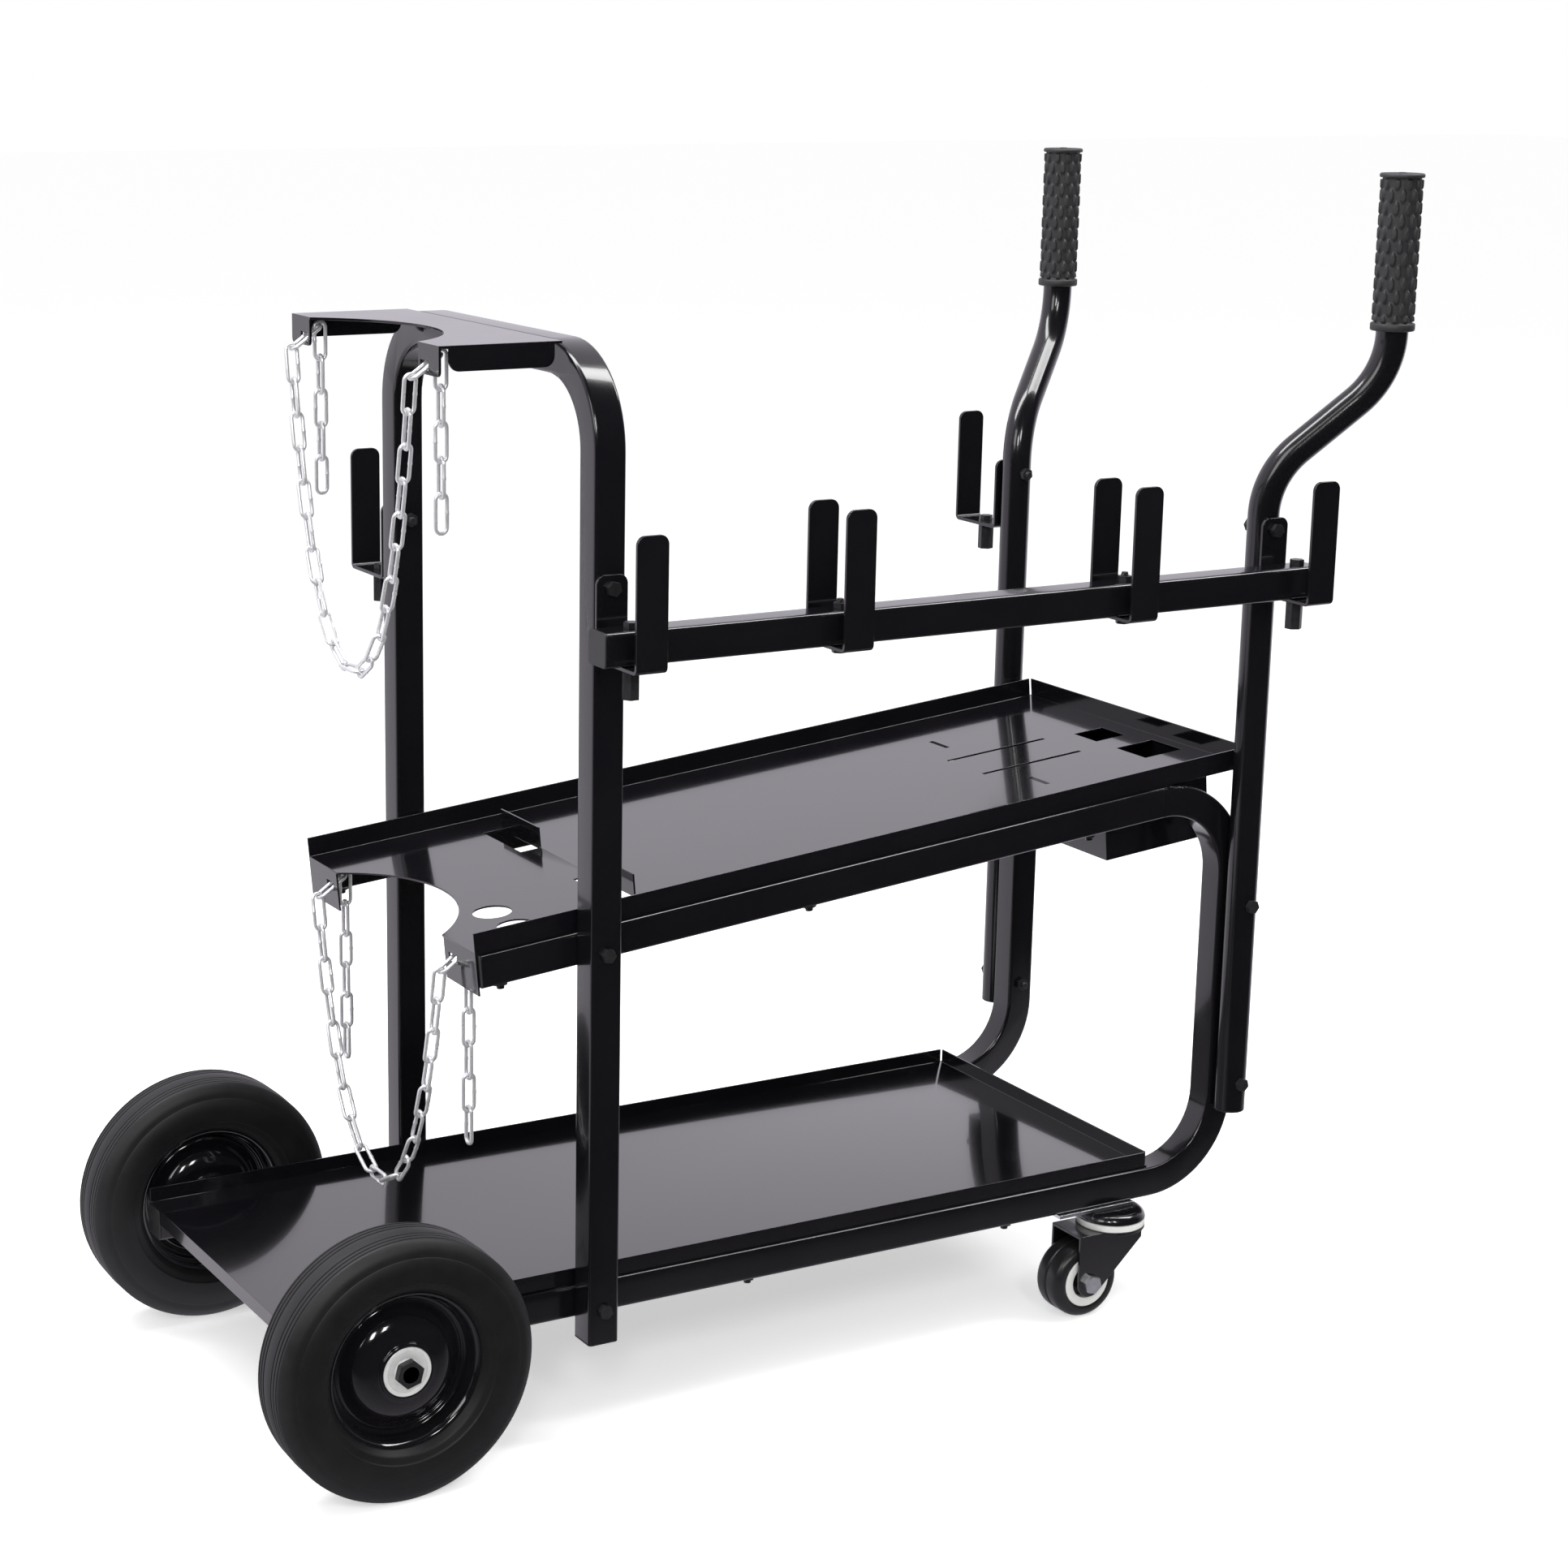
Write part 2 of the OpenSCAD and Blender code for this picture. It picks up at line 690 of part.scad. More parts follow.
module upper_tray() {
    color(black)
        difference() {
            on_slope()
                difference() {
                    union() {
                        pan(tray_end, upper_tray_nose, upper_lip_h);
                        studs(upper_stud_xs);
                        for (s = [0, 1])
                            mirror([0, s, 0]) {
                                translate([tray_end, ear_inner_y, sheet - ear_flange_h])
                                    cube([sheet, tray_w / 2 - ear_inner_y, ear_flange_h]);
                                translate([stop_x, tray_w / 2 - stop_in - stop_l, 0])
                                    cube([sheet, stop_l, stop_h + sheet]);
                            }
                    }
                    translate([notch_x, 0, -over])
                        cylinder(r = tray_notch_r, h = sheet + 2 * over, $fn = 96);
                    for (y = [rod_hole_y - rod_hole_pitch, rod_hole_y])
                        translate([tray_end + rod_hole_back, -y, -over])
                            cylinder(d = rod_hole_d, h = sheet + 2 * over);
                    for (s = [-1, 1]) {
                        floor_cut(stop_x - stop_h, s * (tray_w / 2 - stop_in - stop_l / 2),
                            stop_h, stop_l);
                        floor_cut(long_slot_x, s * long_slot_pitch / 2, long_slot_l, slot_w);
                        floor_cut(short_slot_x, s * short_slot_pitch / 2, slot_w, short_slot_l);
                    }
                    floor_cut(hand_hole_x, small_hole_y, small_hole_l, small_hole_w);
                    floor_cut(hand_hole_x, large_hole_y, large_hole_l, large_hole_w);
                }
            for (s = [-1, 1])
                chain_slot(lower_anchor_x, s * lower_chain_y, lower_anchor_z, sheet);
        }
}

// The slot that the legs of an anchor link pass through, seated on the slot's lower edge
module chain_slot(x, y, z, t) {
    low = wire_d / 2 / cos(anchor_tilt) + t / 2 * tan(anchor_tilt) + turn_gap;
    room = t + 2 * wire_d;
    translate([x - room / 2, y - link_w / 2 - slot_over, z - low])
        cube([room, link_w + 2 * slot_over, 2 * low + wire_d / 2]);
}

module tool_pocket() {
    color(black)
        on_slope()
            difference() {
                union() {
                    translate([pocket_x0, -pocket_w / 2, -pocket_h])
                        cube([pocket_l, pocket_w, pocket_h]);
                    translate([pocket_x0 - pocket_rim, -pocket_w / 2 - pocket_rim, -sheet])
                        cube([pocket_l + 2 * pocket_rim, pocket_w + 2 * pocket_rim, sheet]);
                }
                translate([pocket_x0 + sheet, -pocket_w / 2 + sheet, sheet - pocket_h])
                    cube([pocket_l - 2 * sheet, pocket_w - 2 * sheet, pocket_h + over]);
            }
}

// A plate in the XZ plane that hangs from zero, with its lower corners rounded
module hung_plate(l, h, r, t) {
    rotate([90, 0, 0])
        linear_extrude(t)
            difference() {
                translate([0, -h])
                    square([l, h]);
                for (m = [0, 1])
                    translate([m * l, 0])
                        mirror([m, 0])
                            translate([0, -h])
                                difference() {
                                    translate([-over, -over])
                                        square([r + over, r + over]);
                                    translate([r, r])
                                        circle(r);
                                }
            }
}

module bottle_bracket() {
    l = bracket_reach - tube_w / 2;
    side_l = l - 2 * bracket_flange_r + bracket_t;
    ear_w = bracket_w / 2 - bracket_ear_y;
    color(black)
        difference() {
            union() {
                translate([bracket_end_x, -bracket_w / 2, arch_h - bracket_t])
                    cube([l, bracket_w, bracket_t]);
                for (y = [-bracket_w / 2 + bracket_t, bracket_w / 2])
                    translate([bracket_end_x + bracket_flange_r, y, arch_h])
                        hung_plate(side_l, bracket_flange_h, bracket_flange_r, bracket_t);
                for (y = [-bracket_w / 2, bracket_ear_y])
                    translate([bracket_end_x, y, arch_h])
                        rotate([0, 0, 90])
                            hung_plate(ear_w, bracket_ear_h, bracket_flange_r / 2, bracket_t);
                translate([arch_x - tube_w / 2 - bracket_t, -bracket_ear_y,
                    arch_h - bracket_flange_h])
                    cube([bracket_t, 2 * bracket_ear_y, bracket_flange_h]);
            }
            translate([bottle_x, 0, arch_h - bracket_t - over])
                cylinder(r = bracket_notch_r, h = bracket_t + 2 * over, $fn = 96);
            for (s = [-1, 1])
                chain_slot(upper_anchor_x, s * upper_chain_y, upper_anchor_z, bracket_t);
        }
}

module handle(s) {
    color(black)
        difference() {
            translate([leg_x, s * handle_y, foot_z])
                rotate([0, 0, s * handle_splay])
                    tube_path([[neck_z - handle_rise - foot_z, handle_turn, handle_bend_r],
                        [handle_mid, -handle_turn, handle_bend_r],
                        [handle_top - neck_z, 0, 0]])
                        round_ring();
            for (z = concat(handle_bolt_zs, [hook_bolt_z]))
                hole_y(leg_x, s * handle_y, z, bolt_d, handle_d);
        }
}

module grip(s) {
    color(rubber)
        translate([grip_x, s * grip_y, overall_h - grip_l])
            difference() {
                union() {
                    cylinder(d = grip_d, h = grip_l);
                    cylinder(d = grip_flange_d, h = grip_collar);
                    translate([0, 0, grip_l - grip_cap])
                        cylinder(d = grip_flange_d, h = grip_cap);
                }
                translate([0, 0, -over])
                    cylinder(d = handle_d + 2 * seat_gap, h = grip_l - grip_cap + over);
            }
}

module cable_rail() {
    color(black)
        difference() {
            translate([rail_x0, -rail_y, rail_z])
                rotate([0, 90, 0])
                    linear_extrude(rail_x1 - rail_x0)
                        square_ring();
            for (x = concat(rail_hook_xs, end_hook_xs))
                hole_z(x, -rail_y, rail_z, bolt_d, tube_w);
        }
}

module finger(h) {
    translate([-hook_w / 2, hook_t, hook_bend_r])
        mirror([0, 0, 1])
            hung_plate(hook_w, h - hook_bend_r, hook_tip_r, hook_t);
}

// A strip bent into a U: its first finger stands at zero, the second one a span away
module hook_strip(span, inner_h, outer_h) {
    flat = span - 2 * hook_bend_r;
    color(black)
        difference() {
            union() {
                finger(inner_h);
                translate([0, span - hook_t, 0])
                    finger(outer_h);
                translate([-hook_w / 2, hook_bend_r, 0])
                    cube([hook_w, flat, hook_t]);
                for (m = [0, 1])
                    translate([-hook_w / 2, m * span, hook_bend_r])
                        mirror([0, m, 0])
                            translate([0, hook_bend_r, 0])
                                rotate([90, 0, 90])
                                    linear_extrude(hook_w)
                                        quarter_bend();
            }
            children();
        }
}

module quarter_bend() {
    intersection() {
        difference() {
            circle(hook_bend_r);
            circle(hook_bend_r - hook_t);
        }
        translate([-hook_bend_r - over, -hook_bend_r - over])
            square(hook_bend_r + over);
    }
}

// A hook on a post: its short finger is bolted to the post, its tall one stands outside
module post_hook(s, x) {
    translate([x, s * post_y, hook_z])
        mirror([0, (1 - s) / 2, 0])
            hook_strip(post_hook_span, hook_short, hook_tall) {
                hole_y(0, hook_t / 2, hook_bolt_up, bolt_d, hook_t);
                hole_z(0, post_hook_span / 2, hook_t / 2, bolt_d, hook_t);
            }
}

module rail_hook(x) {
    translate([x, hook_span / 2 - rail_y, hook_z])
        mirror([0, 1, 0])
            hook_strip(hook_span, rail_hook_tall, rail_hook_tall)
                hole_z(0, hook_span / 2, hook_t / 2, bolt_d, hook_t);
}

module tube_plugs() {
    color(rubber)
        for (s = [-1, 1]) {
            translate([tube_start, s * frame_y, frame_z + tube_w / 2])
                rotate([0, 90, 0])
                    plug(tube_w, tube_r);
            on_slope()
                translate([tray_end + cap_room, s * frame_y, -tube_w / 2])
                    rotate([0, 90, 0])
                        plug(tube_w, tube_r);
            translate([arch_x, s * leg_y, arch_foot_z])
                plug(tube_w, tube_r);
            translate([leg_x, s * handle_y, foot_z])
                round_plug();
        }
}

module rail_plugs() {
    color(rubber)
        for (m = [0, 1])
            translate([m == 0 ? rail_x0 : rail_x1, -rail_y, rail_z])
                mirror([m, 0, 0])
                    rotate([0, 90, 0])
                        plug(tube_w, tube_r);
}

module arch_bolts() {
    color(black)
        for (s = [-1, 1], z = arch_bolt_zs)
            inward(s, arch_x, leg_y + tube_w / 2, z)
                bolt(bolt_d, bolt_af, bolt_head, 2 * tube_w, bolt_head);
}

module handle_bolts() {
    color(black)
        for (s = [-1, 1], z = handle_bolt_zs)
            inward(s, leg_x, handle_y + handle_d / 2, z)
                bolt(bolt_d, bolt_af, bolt_head, tube_w + handle_d + seat_gap, bolt_head);
}

module hook_bolts() {
    color(black)
        for (s = [-1, 1]) {
            inward(s, arch_x, post_y + hook_t, hook_bolt_z)
                bolt(bolt_d, bolt_af, bolt_head, hook_t + seat_gap + tube_w, bolt_head);
            inward(s, leg_x, post_y + hook_t, hook_bolt_z)
                bolt(bolt_d, bolt_af, bolt_head, hook_t + post_y - handle_y + handle_d / 2,
                    bolt_head);
        }
}

// Hangs a bolt head up from a seat, with a long nut under what it holds
module hung_bolt(x, y, z, held) {
    translate([x, y, z])
        mirror([0, 0, 1]) {
            translate([0, 0, -bolt_head])
                hexagon(bolt_af, bolt_head);
            cylinder(d = bolt_d, h = held + peg_l);
            translate([0, 0, held])
                nut(bolt_d, peg_af, peg_l);
        }
}

module hook_pegs() {
    color(black)
        for (x = end_hook_xs) {
            hung_bolt(x, -rail_y, rail_z + tube_w / 2, tube_w + hook_t);
            hung_bolt(x, rail_y, hook_z + hook_t, hook_t);
        }
}

module rail_bolts() {
    color(black)
        for (x = rail_hook_xs)
            translate([x, -rail_y, hook_z])
                bolt(bolt_d, bolt_af, bolt_head, hook_t + tube_w, bolt_head);
}

module stud_nuts(xs) {
    for (x = xs, s = [-1, 1])
        translate([x, s * frame_y, -tube_w - stud_nut_h])
            nut(stud_d, stud_af, stud_nut_h);
}

module upper_tray_nuts() {
    color(black)
        on_slope()
            stud_nuts(upper_stud_xs);
}

module lower_tray_nuts() {
    color(black)
        translate([0, 0, floor_z])
            stud_nuts(lower_stud_xs);
}

axle_half = wheel_y + hub_half + turn_gap + axle_nut_h;

module axle() {
    color(zinc)
        translate([axle_x, axle_half, axle_z])
            rotate([90, 0, 0])
                cylinder(d = axle_d, h = 2 * axle_half);
}

module axle_spacers() {
    color(zinc)
        for (s = [-1, 1])
            inward(s, axle_x, wheel_y - hub_half - turn_gap, axle_z)
                ring(spacer_d, axle_d + 2 * seat_gap, spacer_l);
}

module axle_nuts() {
    color(black)
        for (s = [-1, 1])
            inward(s, axle_x, axle_half, axle_z)
                nut(axle_d, axle_af, axle_nut_h);
}

// Wheel parts are turned around their axle, with the profile's height across the cart
module on_axle(s) {
    translate([axle_x, s * wheel_y, axle_z])
        rotate([90, 0, 0])
            children();
}

tread_half_share = 0.68;
groove_shares = [-0.92, -0.66, -0.4, 0.4, 0.66, 0.92];

module tyre(s) {
    r = wheel_d / 2;
    half = tyre_w / 2;
    tread = half * tread_half_share;
    bulge = half - tread;
    seat = rim_d / 2;
    color(rubber)
        on_axle(s)
            rotate_extrude($fn = 96)
                difference() {
                    polygon([[seat, -tread], [seat + bulge, -half], [r - bulge, -half],
                        [r, -tread], [r, tread], [r - bulge, half],
                        [seat + bulge, half], [seat, tread]]);
                    for (share = groove_shares)
                        translate([r - groove_d, share * tread - groove_w / 2])
                            square([groove_d + over, groove_w]);
                }
}

module rim(s) {
    band = rim_d / 2 - seat_gap;
    half = tyre_w / 2 * tread_half_share;
    web = hub_half / 2;
    mid = (hub_d / 2 + band) / 2;
    color(black)
        on_axle(s)
            rotate_extrude($fn = 96)
                difference() {
                    polygon([[bearing_d / 2 + seat_gap, -hub_half], [hub_d / 2, -hub_half],
                        [hub_d / 2, -web], [mid, -web / 2], [band - rim_t, -web],
                        [band - rim_t, -half], [band, -half], [band, half],
                        [band - rim_t, half], [band - rim_t, rim_t - web],
                        [mid, rim_t - web / 2], [hub_d / 2, rim_t - web],
                        [hub_d / 2, hub_half], [bearing_d / 2 + seat_gap, hub_half]]);
                }
}

module bearings(s) {
    color(white)
        on_axle(s)
            for (z = [-hub_half, hub_half - bearing_w])
                translate([0, 0, z])
                    ring(bearing_d, axle_d + 2 * shaft_gap, bearing_w);
}

module caster_plates() {
    color(zinc)
        for (s = [-1, 1])
            translate([plate_x0, s * frame_y - plate_w / 2, frame_z - plate_t])
                cube([plate_l, plate_w, plate_t]);
}

// Half the section of a cup with a rounded shoulder
module cup_section() {
    flat = cup_d / 2 - cup_h;
    square([flat, cup_h]);
    translate([flat, 0])
        intersection() {
            circle(cup_h);
            square(cup_h);
        }
}

// The cup and the rivet that the fork turns on
module caster_cups() {
    color(black)
        for (s = [-1, 1])
            translate([caster_x, s * caster_y, 0]) {
                translate([0, 0, cup_z])
                    rotate_extrude()
                        cup_section();
                translate([0, 0, fork_z - fork_t - turn_gap])
                    cylinder(d = king_d, h = cup_z + turn_gap + fork_t - fork_z + over);
                translate([0, 0, fork_z - fork_t - turn_gap - king_head_h])
                    cylinder(d = king_d + 2 * king_head_h, h = king_head_h);
            }
}

module caster_ring(s) {
    color(white)
        translate([caster_x, s * caster_y, fork_z])
            ring(cup_d, king_d + 2 * shaft_gap, ring_h);
}

// The leg's outline: straight down behind the axle, and slanting to it from the crown's front
module fork_leg() {
    r = fork_end_d / 2;
    back = -caster_trail - r;
    front = half_chord(cup_d / 2, fork_w / 2) - fork_t;
    top = fork_z - fork_t / 2;
    low = fork_z - king_d;
    axle_at = [-caster_trail, roll_z];
    slant = [front, low] - axle_at;
    front_at = atan2(slant[1], slant[0]) - acos(r / norm(slant));
    difference() {
        union() {
            polygon([[back, top], [front, top], [front, low],
                axle_at + r * [cos(front_at), sin(front_at)], axle_at, [back, roll_z]]);
            translate(axle_at)
                circle(r);
        }
        translate(axle_at)
            circle(d = caster_axle_d + 2 * bolt_gap);
    }
}

module fork_crown() {
    l = caster_trail + fork_end_d / 2;
    difference() {
        union() {
            cylinder(d = cup_d, h = fork_t);
            translate([-l, -fork_w / 2, 0])
                cube([l, fork_w, fork_t]);
        }
        translate([0, 0, -over])
            cylinder(d = king_d + 2 * shaft_gap, h = fork_t + 2 * over);
    }
}

module caster_fork(s) {
    color(black)
        translate([caster_x, s * caster_y, 0]) {
            translate([0, 0, fork_z - fork_t])
                fork_crown();
            for (y = [fork_t - fork_w / 2, fork_w / 2])
                translate([0, y, 0])
                    rotate([90, 0, 0])
                        linear_extrude(fork_t)
                            fork_leg();
        }
}

module caster_axle(s) {
    color(zinc)
        inward(s, roll_x, caster_y + fork_w / 2, roll_z)
            bolt(caster_axle_d, caster_bolt_af, caster_bolt_head, fork_w, caster_bolt_head);
}

module on_roll(s) {
    translate([roll_x, s * caster_y, roll_z])
        rotate([90, 0, 0])
            children();
}

module caster_tread(s) {
    r = caster_d / 2;
    half = caster_w / 2;
    edge = half / 3;
    color(rubber)
        on_roll(s)
            rotate_extrude()
                polygon([[core_d / 2, -half], [r - edge, -half], [r, -half + edge],
                    [r, half - edge], [r - edge, half], [core_d / 2, half]]);
}

module caster_core(s) {
    half = caster_w / 2;
    hub = fork_w / 2 - fork_t - turn_gap;
    bore = caster_axle_d / 2 + shaft_gap;
    dish = core_d / 2 - core_ring;
    seat = core_d / 2 - seat_gap;
    color(white)
        on_roll(s)
            rotate_extrude()
                polygon([[bore, -hub], [bore + core_wall, -hub], [bore + core_wall, -half / 2],
                    [dish, -half / 2], [dish, -half], [seat, -half], [seat, half],
                    [dish, half], [dish, half / 2], [bore + core_wall, half / 2],
                    [bore + core_wall, hub], [bore, hub]]);
}

// One chain link, upright in the XZ plane
module link() {
    straight = link_l - link_w;
    for (x = [-ring_r, ring_r])
        translate([x, 0, -straight / 2])
            cylinder(d = wire_d, h = straight, $fn = 24);
    for (m = [0, 1])
        mirror([0, 0, m])
            translate([0, 0, straight / 2])
                rotate([90, 0, 0])
                    rotate_extrude(angle = 180, $fn = 24)
                        translate([ring_r, 0])
                            circle(d = wire_d);
}

module anchor_links(x, y, z) {
    color(zinc)
        for (s = [-1, 1])
            translate([x, s * y, z])
                rotate([0, 90 - anchor_tilt, 0])
                    rotate([0, 0, 90])
                        link();
}

module chain_loop(x, y, z, n) {
    k = sag_step(n, 2 * y);
    color(zinc)
        for (i = [0 : n - 1]) {
            start = chain_point(i, n, k);
            dir = chain_dir(i, n, k);
            mid = i == 0 ? start + (end_seg - long_seg / 2) * dir
                : i == n - 1 ? start + long_seg / 2 * dir
                : start + seg(i, n) / 2 * dir;
            translate([x - anchor_dx, mid[0] - y, z - anchor_dz + mid[1]])
                rotate([lean(i, n, k) - 90, 0, 0])
                    rotate([0, 0, 90 * (i % 2)])
                        link();
        }
}

module chain_tail(x, y, z, n) {
    color(zinc)
        for (i = [0 : n - 1]) {
            drop = i == 0 ? end_seg - long_seg / 2
                : tail_point(i) + (i % 2 == 0 ? long_seg : short_seg) / 2;
            translate([x + anchor_dx, y, z + anchor_dz - drop])
                rotate([0, 0, 90 * (i % 2)])
                    link();
        }
}

module upper_tail(s) {
    chain_tail(upper_anchor_x, s * upper_chain_y, upper_anchor_z, upper_tail_n);
}

module lower_tail(s) {
    chain_tail(lower_anchor_x, s * lower_chain_y, lower_anchor_z, lower_tail_n);
}

arch();
side_frame(-1);  // side_frame_near
side_frame(1);  // side_frame_far
lower_tray();
upper_tray();
tool_pocket();
bottle_bracket();
handle(-1);  // handle_near
handle(1);  // handle_far
grip(-1);  // grip_near
grip(1);  // grip_far
cable_rail();
rail_hook(rail_hook_xs[0]);  // rail_hook_bottle_end
rail_hook(rail_hook_xs[1]);  // rail_hook_handle_end
post_hook(-1, arch_x);  // arch_hook_near
post_hook(1, arch_x);  // arch_hook_far
post_hook(-1, leg_x);  // handle_hook_near
post_hook(1, leg_x);  // handle_hook_far
tube_plugs();
rail_plugs();
arch_bolts();
handle_bolts();
hook_bolts();
hook_pegs();
rail_bolts();
upper_tray_nuts();
lower_tray_nuts();
axle();
axle_spacers();
axle_nuts();
tyre(-1);  // tyre_near
tyre(1);  // tyre_far
rim(-1);  // rim_near
rim(1);  // rim_far
bearings(-1);  // bearings_near
bearings(1);  // bearings_far
caster_plates();
caster_cups();
caster_ring(-1);  // caster_ring_near
caster_ring(1);  // caster_ring_far
caster_fork(-1);  // caster_fork_near
caster_fork(1);  // caster_fork_far
caster_axle(-1);  // caster_axle_near
caster_axle(1);  // caster_axle_far
caster_tread(-1);  // caster_tread_near
caster_tread(1);  // caster_tread_far
caster_core(-1);  // caster_core_near
caster_core(1);  // caster_core_far
anchor_links(upper_anchor_x, upper_chain_y, upper_anchor_z);  // upper_anchor_links
anchor_links(lower_anchor_x, lower_chain_y, lower_anchor_z);  // lower_anchor_links
chain_loop(upper_anchor_x, upper_chain_y, upper_anchor_z, upper_loop_n);  // upper_chain_loop
upper_tail(-1);  // upper_chain_tail_near
upper_tail(1);  // upper_chain_tail_far
chain_loop(lower_anchor_x, lower_chain_y, lower_anchor_z, lower_loop_n);  // lower_chain_loop
lower_tail(-1);  // lower_chain_tail_near
lower_tail(1);  // lower_chain_tail_far
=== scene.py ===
import json
import math
import random

import bmesh
import bpy
import numpy as np
from mathutils import Matrix, Vector


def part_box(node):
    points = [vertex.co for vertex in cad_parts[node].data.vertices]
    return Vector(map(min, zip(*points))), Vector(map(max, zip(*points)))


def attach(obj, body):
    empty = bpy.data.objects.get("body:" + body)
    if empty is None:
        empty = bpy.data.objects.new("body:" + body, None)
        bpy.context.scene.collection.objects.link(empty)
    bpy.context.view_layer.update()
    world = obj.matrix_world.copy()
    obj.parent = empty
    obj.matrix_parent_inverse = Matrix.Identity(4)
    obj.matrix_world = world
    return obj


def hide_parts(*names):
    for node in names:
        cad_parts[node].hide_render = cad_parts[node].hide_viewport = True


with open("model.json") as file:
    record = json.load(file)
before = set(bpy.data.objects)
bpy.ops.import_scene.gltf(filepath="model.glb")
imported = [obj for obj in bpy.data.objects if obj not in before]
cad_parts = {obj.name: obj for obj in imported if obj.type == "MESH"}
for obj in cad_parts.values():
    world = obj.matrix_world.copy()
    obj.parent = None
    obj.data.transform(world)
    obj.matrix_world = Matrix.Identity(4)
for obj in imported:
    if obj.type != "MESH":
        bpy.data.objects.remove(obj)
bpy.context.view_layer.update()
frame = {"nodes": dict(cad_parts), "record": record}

mm = 0.001
nodes = frame["nodes"]
record = frame["record"]
bodyOf = {node: body for body, group in record["behaviour"]["bodies"].items() for node in group}
slotOf = {part["node"]: part["material_slot"] for part in record["subparts"]}
sides = {"near": -1, "far": 1}  # which way along Y each side of the cart lies
acrossCart = (0, 1, 0)
upright = (0, 0, 1)


def middleOf(node):
    low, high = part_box(node)
    return (low + high) / 2


# the photograph's own camera, fitted to the cart's corners
camera = dict(place=(-1.2713, -2.1341, 1.0601), yaw=29.165, pitch=13.919, roll=0.647,
              lens=72.62, sensor=36, shiftX=0.0900, shiftY=0.0033)


def placeCamera(look):
    yaw, pitch, roll = (math.radians(look[turn]) for turn in ("yaw", "pitch", "roll"))
    data = bpy.data.cameras.new("photoCamera")
    data.lens = look["lens"]
    data.sensor_width = look["sensor"]
    data.shift_x = look["shiftX"]
    data.shift_y = look["shiftY"]
    data.clip_start = 0.05
    data.clip_end = 100
    eye = bpy.data.objects.new("photoCamera", data)
    level = Matrix.Rotation(-yaw, 4, "Z") @ Matrix.Rotation(math.radians(90) - pitch, 4, "X")
    eye.matrix_world = Matrix.Translation(look["place"]) @ level @ Matrix.Rotation(roll, 4, "Z")
    bpy.context.scene.collection.objects.link(eye)
    bpy.context.scene.camera = eye


placeCamera(camera)
print("camera: lens of %.1f mm" % camera["lens"])


# one output of a material's nodes: sums and products on it add Math nodes
class Wire:
    def __init__(self, tree, socket=None):
        self.tree = tree
        self.socket = socket

    # any other node: its settings are set first, then its inputs by name or number
    def node(self, kind, inputs, out=0, **settings):
        made = self.tree.nodes.new("ShaderNode" + kind)
        for name, value in settings.items():
            if name == "stops":
                for stop, (place, shade) in zip(made.color_ramp.elements, value):
                    stop.position = place
                    stop.color = (shade, shade, shade, 1)
            else:
                setattr(made, name, value)
        for key, value in inputs.items():
            if isinstance(value, Wire):
                self.tree.links.new(value.socket, made.inputs[key])
            else:
                made.inputs[key].default_value = value
        return Wire(self.tree, made.outputs[out]) if made.outputs else None

    def work(self, operation, other, turned=False):
        pair = (other, self) if turned else (self, other)
        return self.node("Math", {0: pair[0], 1: pair[1]}, operation=operation)

    def __add__(self, other):
        return self.work("ADD", other)

    def __radd__(self, other):
        return self.work("ADD", other, True)

    def __sub__(self, other):
        return self.work("SUBTRACT", other)

    def __rsub__(self, other):
        return self.work("SUBTRACT", other, True)

    def __mul__(self, other):
        return self.work("MULTIPLY", other)

    def __rmul__(self, other):
        return self.work("MULTIPLY", other, True)

    def __pow__(self, other):
        return self.work("POWER", other)


def colour(value):
    return tuple(value) + (1,)


def noise(place, scale, detail=2.0, roughness=0.5):
    return place.node("TexNoise", {"Vector": place, "Scale": scale, "Detail": detail,
                                   "Roughness": roughness})


def ramp(wire, low, high):
    return wire.node("ValToRGB", {"Fac": wire}, stops=[(low, 0.0), (high, 1.0)])


def mixColour(factor, a, b):
    shades = {0: factor, 6: a if isinstance(a, Wire) else colour(a),
              7: b if isinstance(b, Wire) else colour(b)}
    return factor.node("Mix", shades, out=2, data_type="RGBA")


def axisOf(place, number):
    return place.node("SeparateXYZ", {"Vector": place}, out=number)


def bump(place, height, depth):
    return place.node("Bump", {"Height": height, "Distance": depth, "Strength": 1.0})


# a new material, with the place on the piece in metres as its first wire
def startMaterial(name):
    material = bpy.data.materials.new(name)
    material.use_nodes = True
    material.node_tree.nodes.clear()
    place = Wire(material.node_tree).node("TexCoord", {}, out=3)
    return material, place


def closeMaterial(place, base, roughness, normal, **fixed):
    sockets = dict(metallic="Metallic", coat="Coat Weight", coatRoughness="Coat Roughness",
                   specular="Specular IOR Level")
    inputs = {"Base Color": base, "Roughness": roughness, "Normal": normal}
    for name, value in fixed.items():
        inputs[sockets[name]] = value
    shader = place.node("BsdfPrincipled", inputs)
    place.node("OutputMaterial", {"Surface": shader})


# roughness that drifts by its spread with a noise, around the finish's own value
def drifting(wire, look):
    return wire * look["spread"] + (look["roughness"] - look["spread"] / 2)


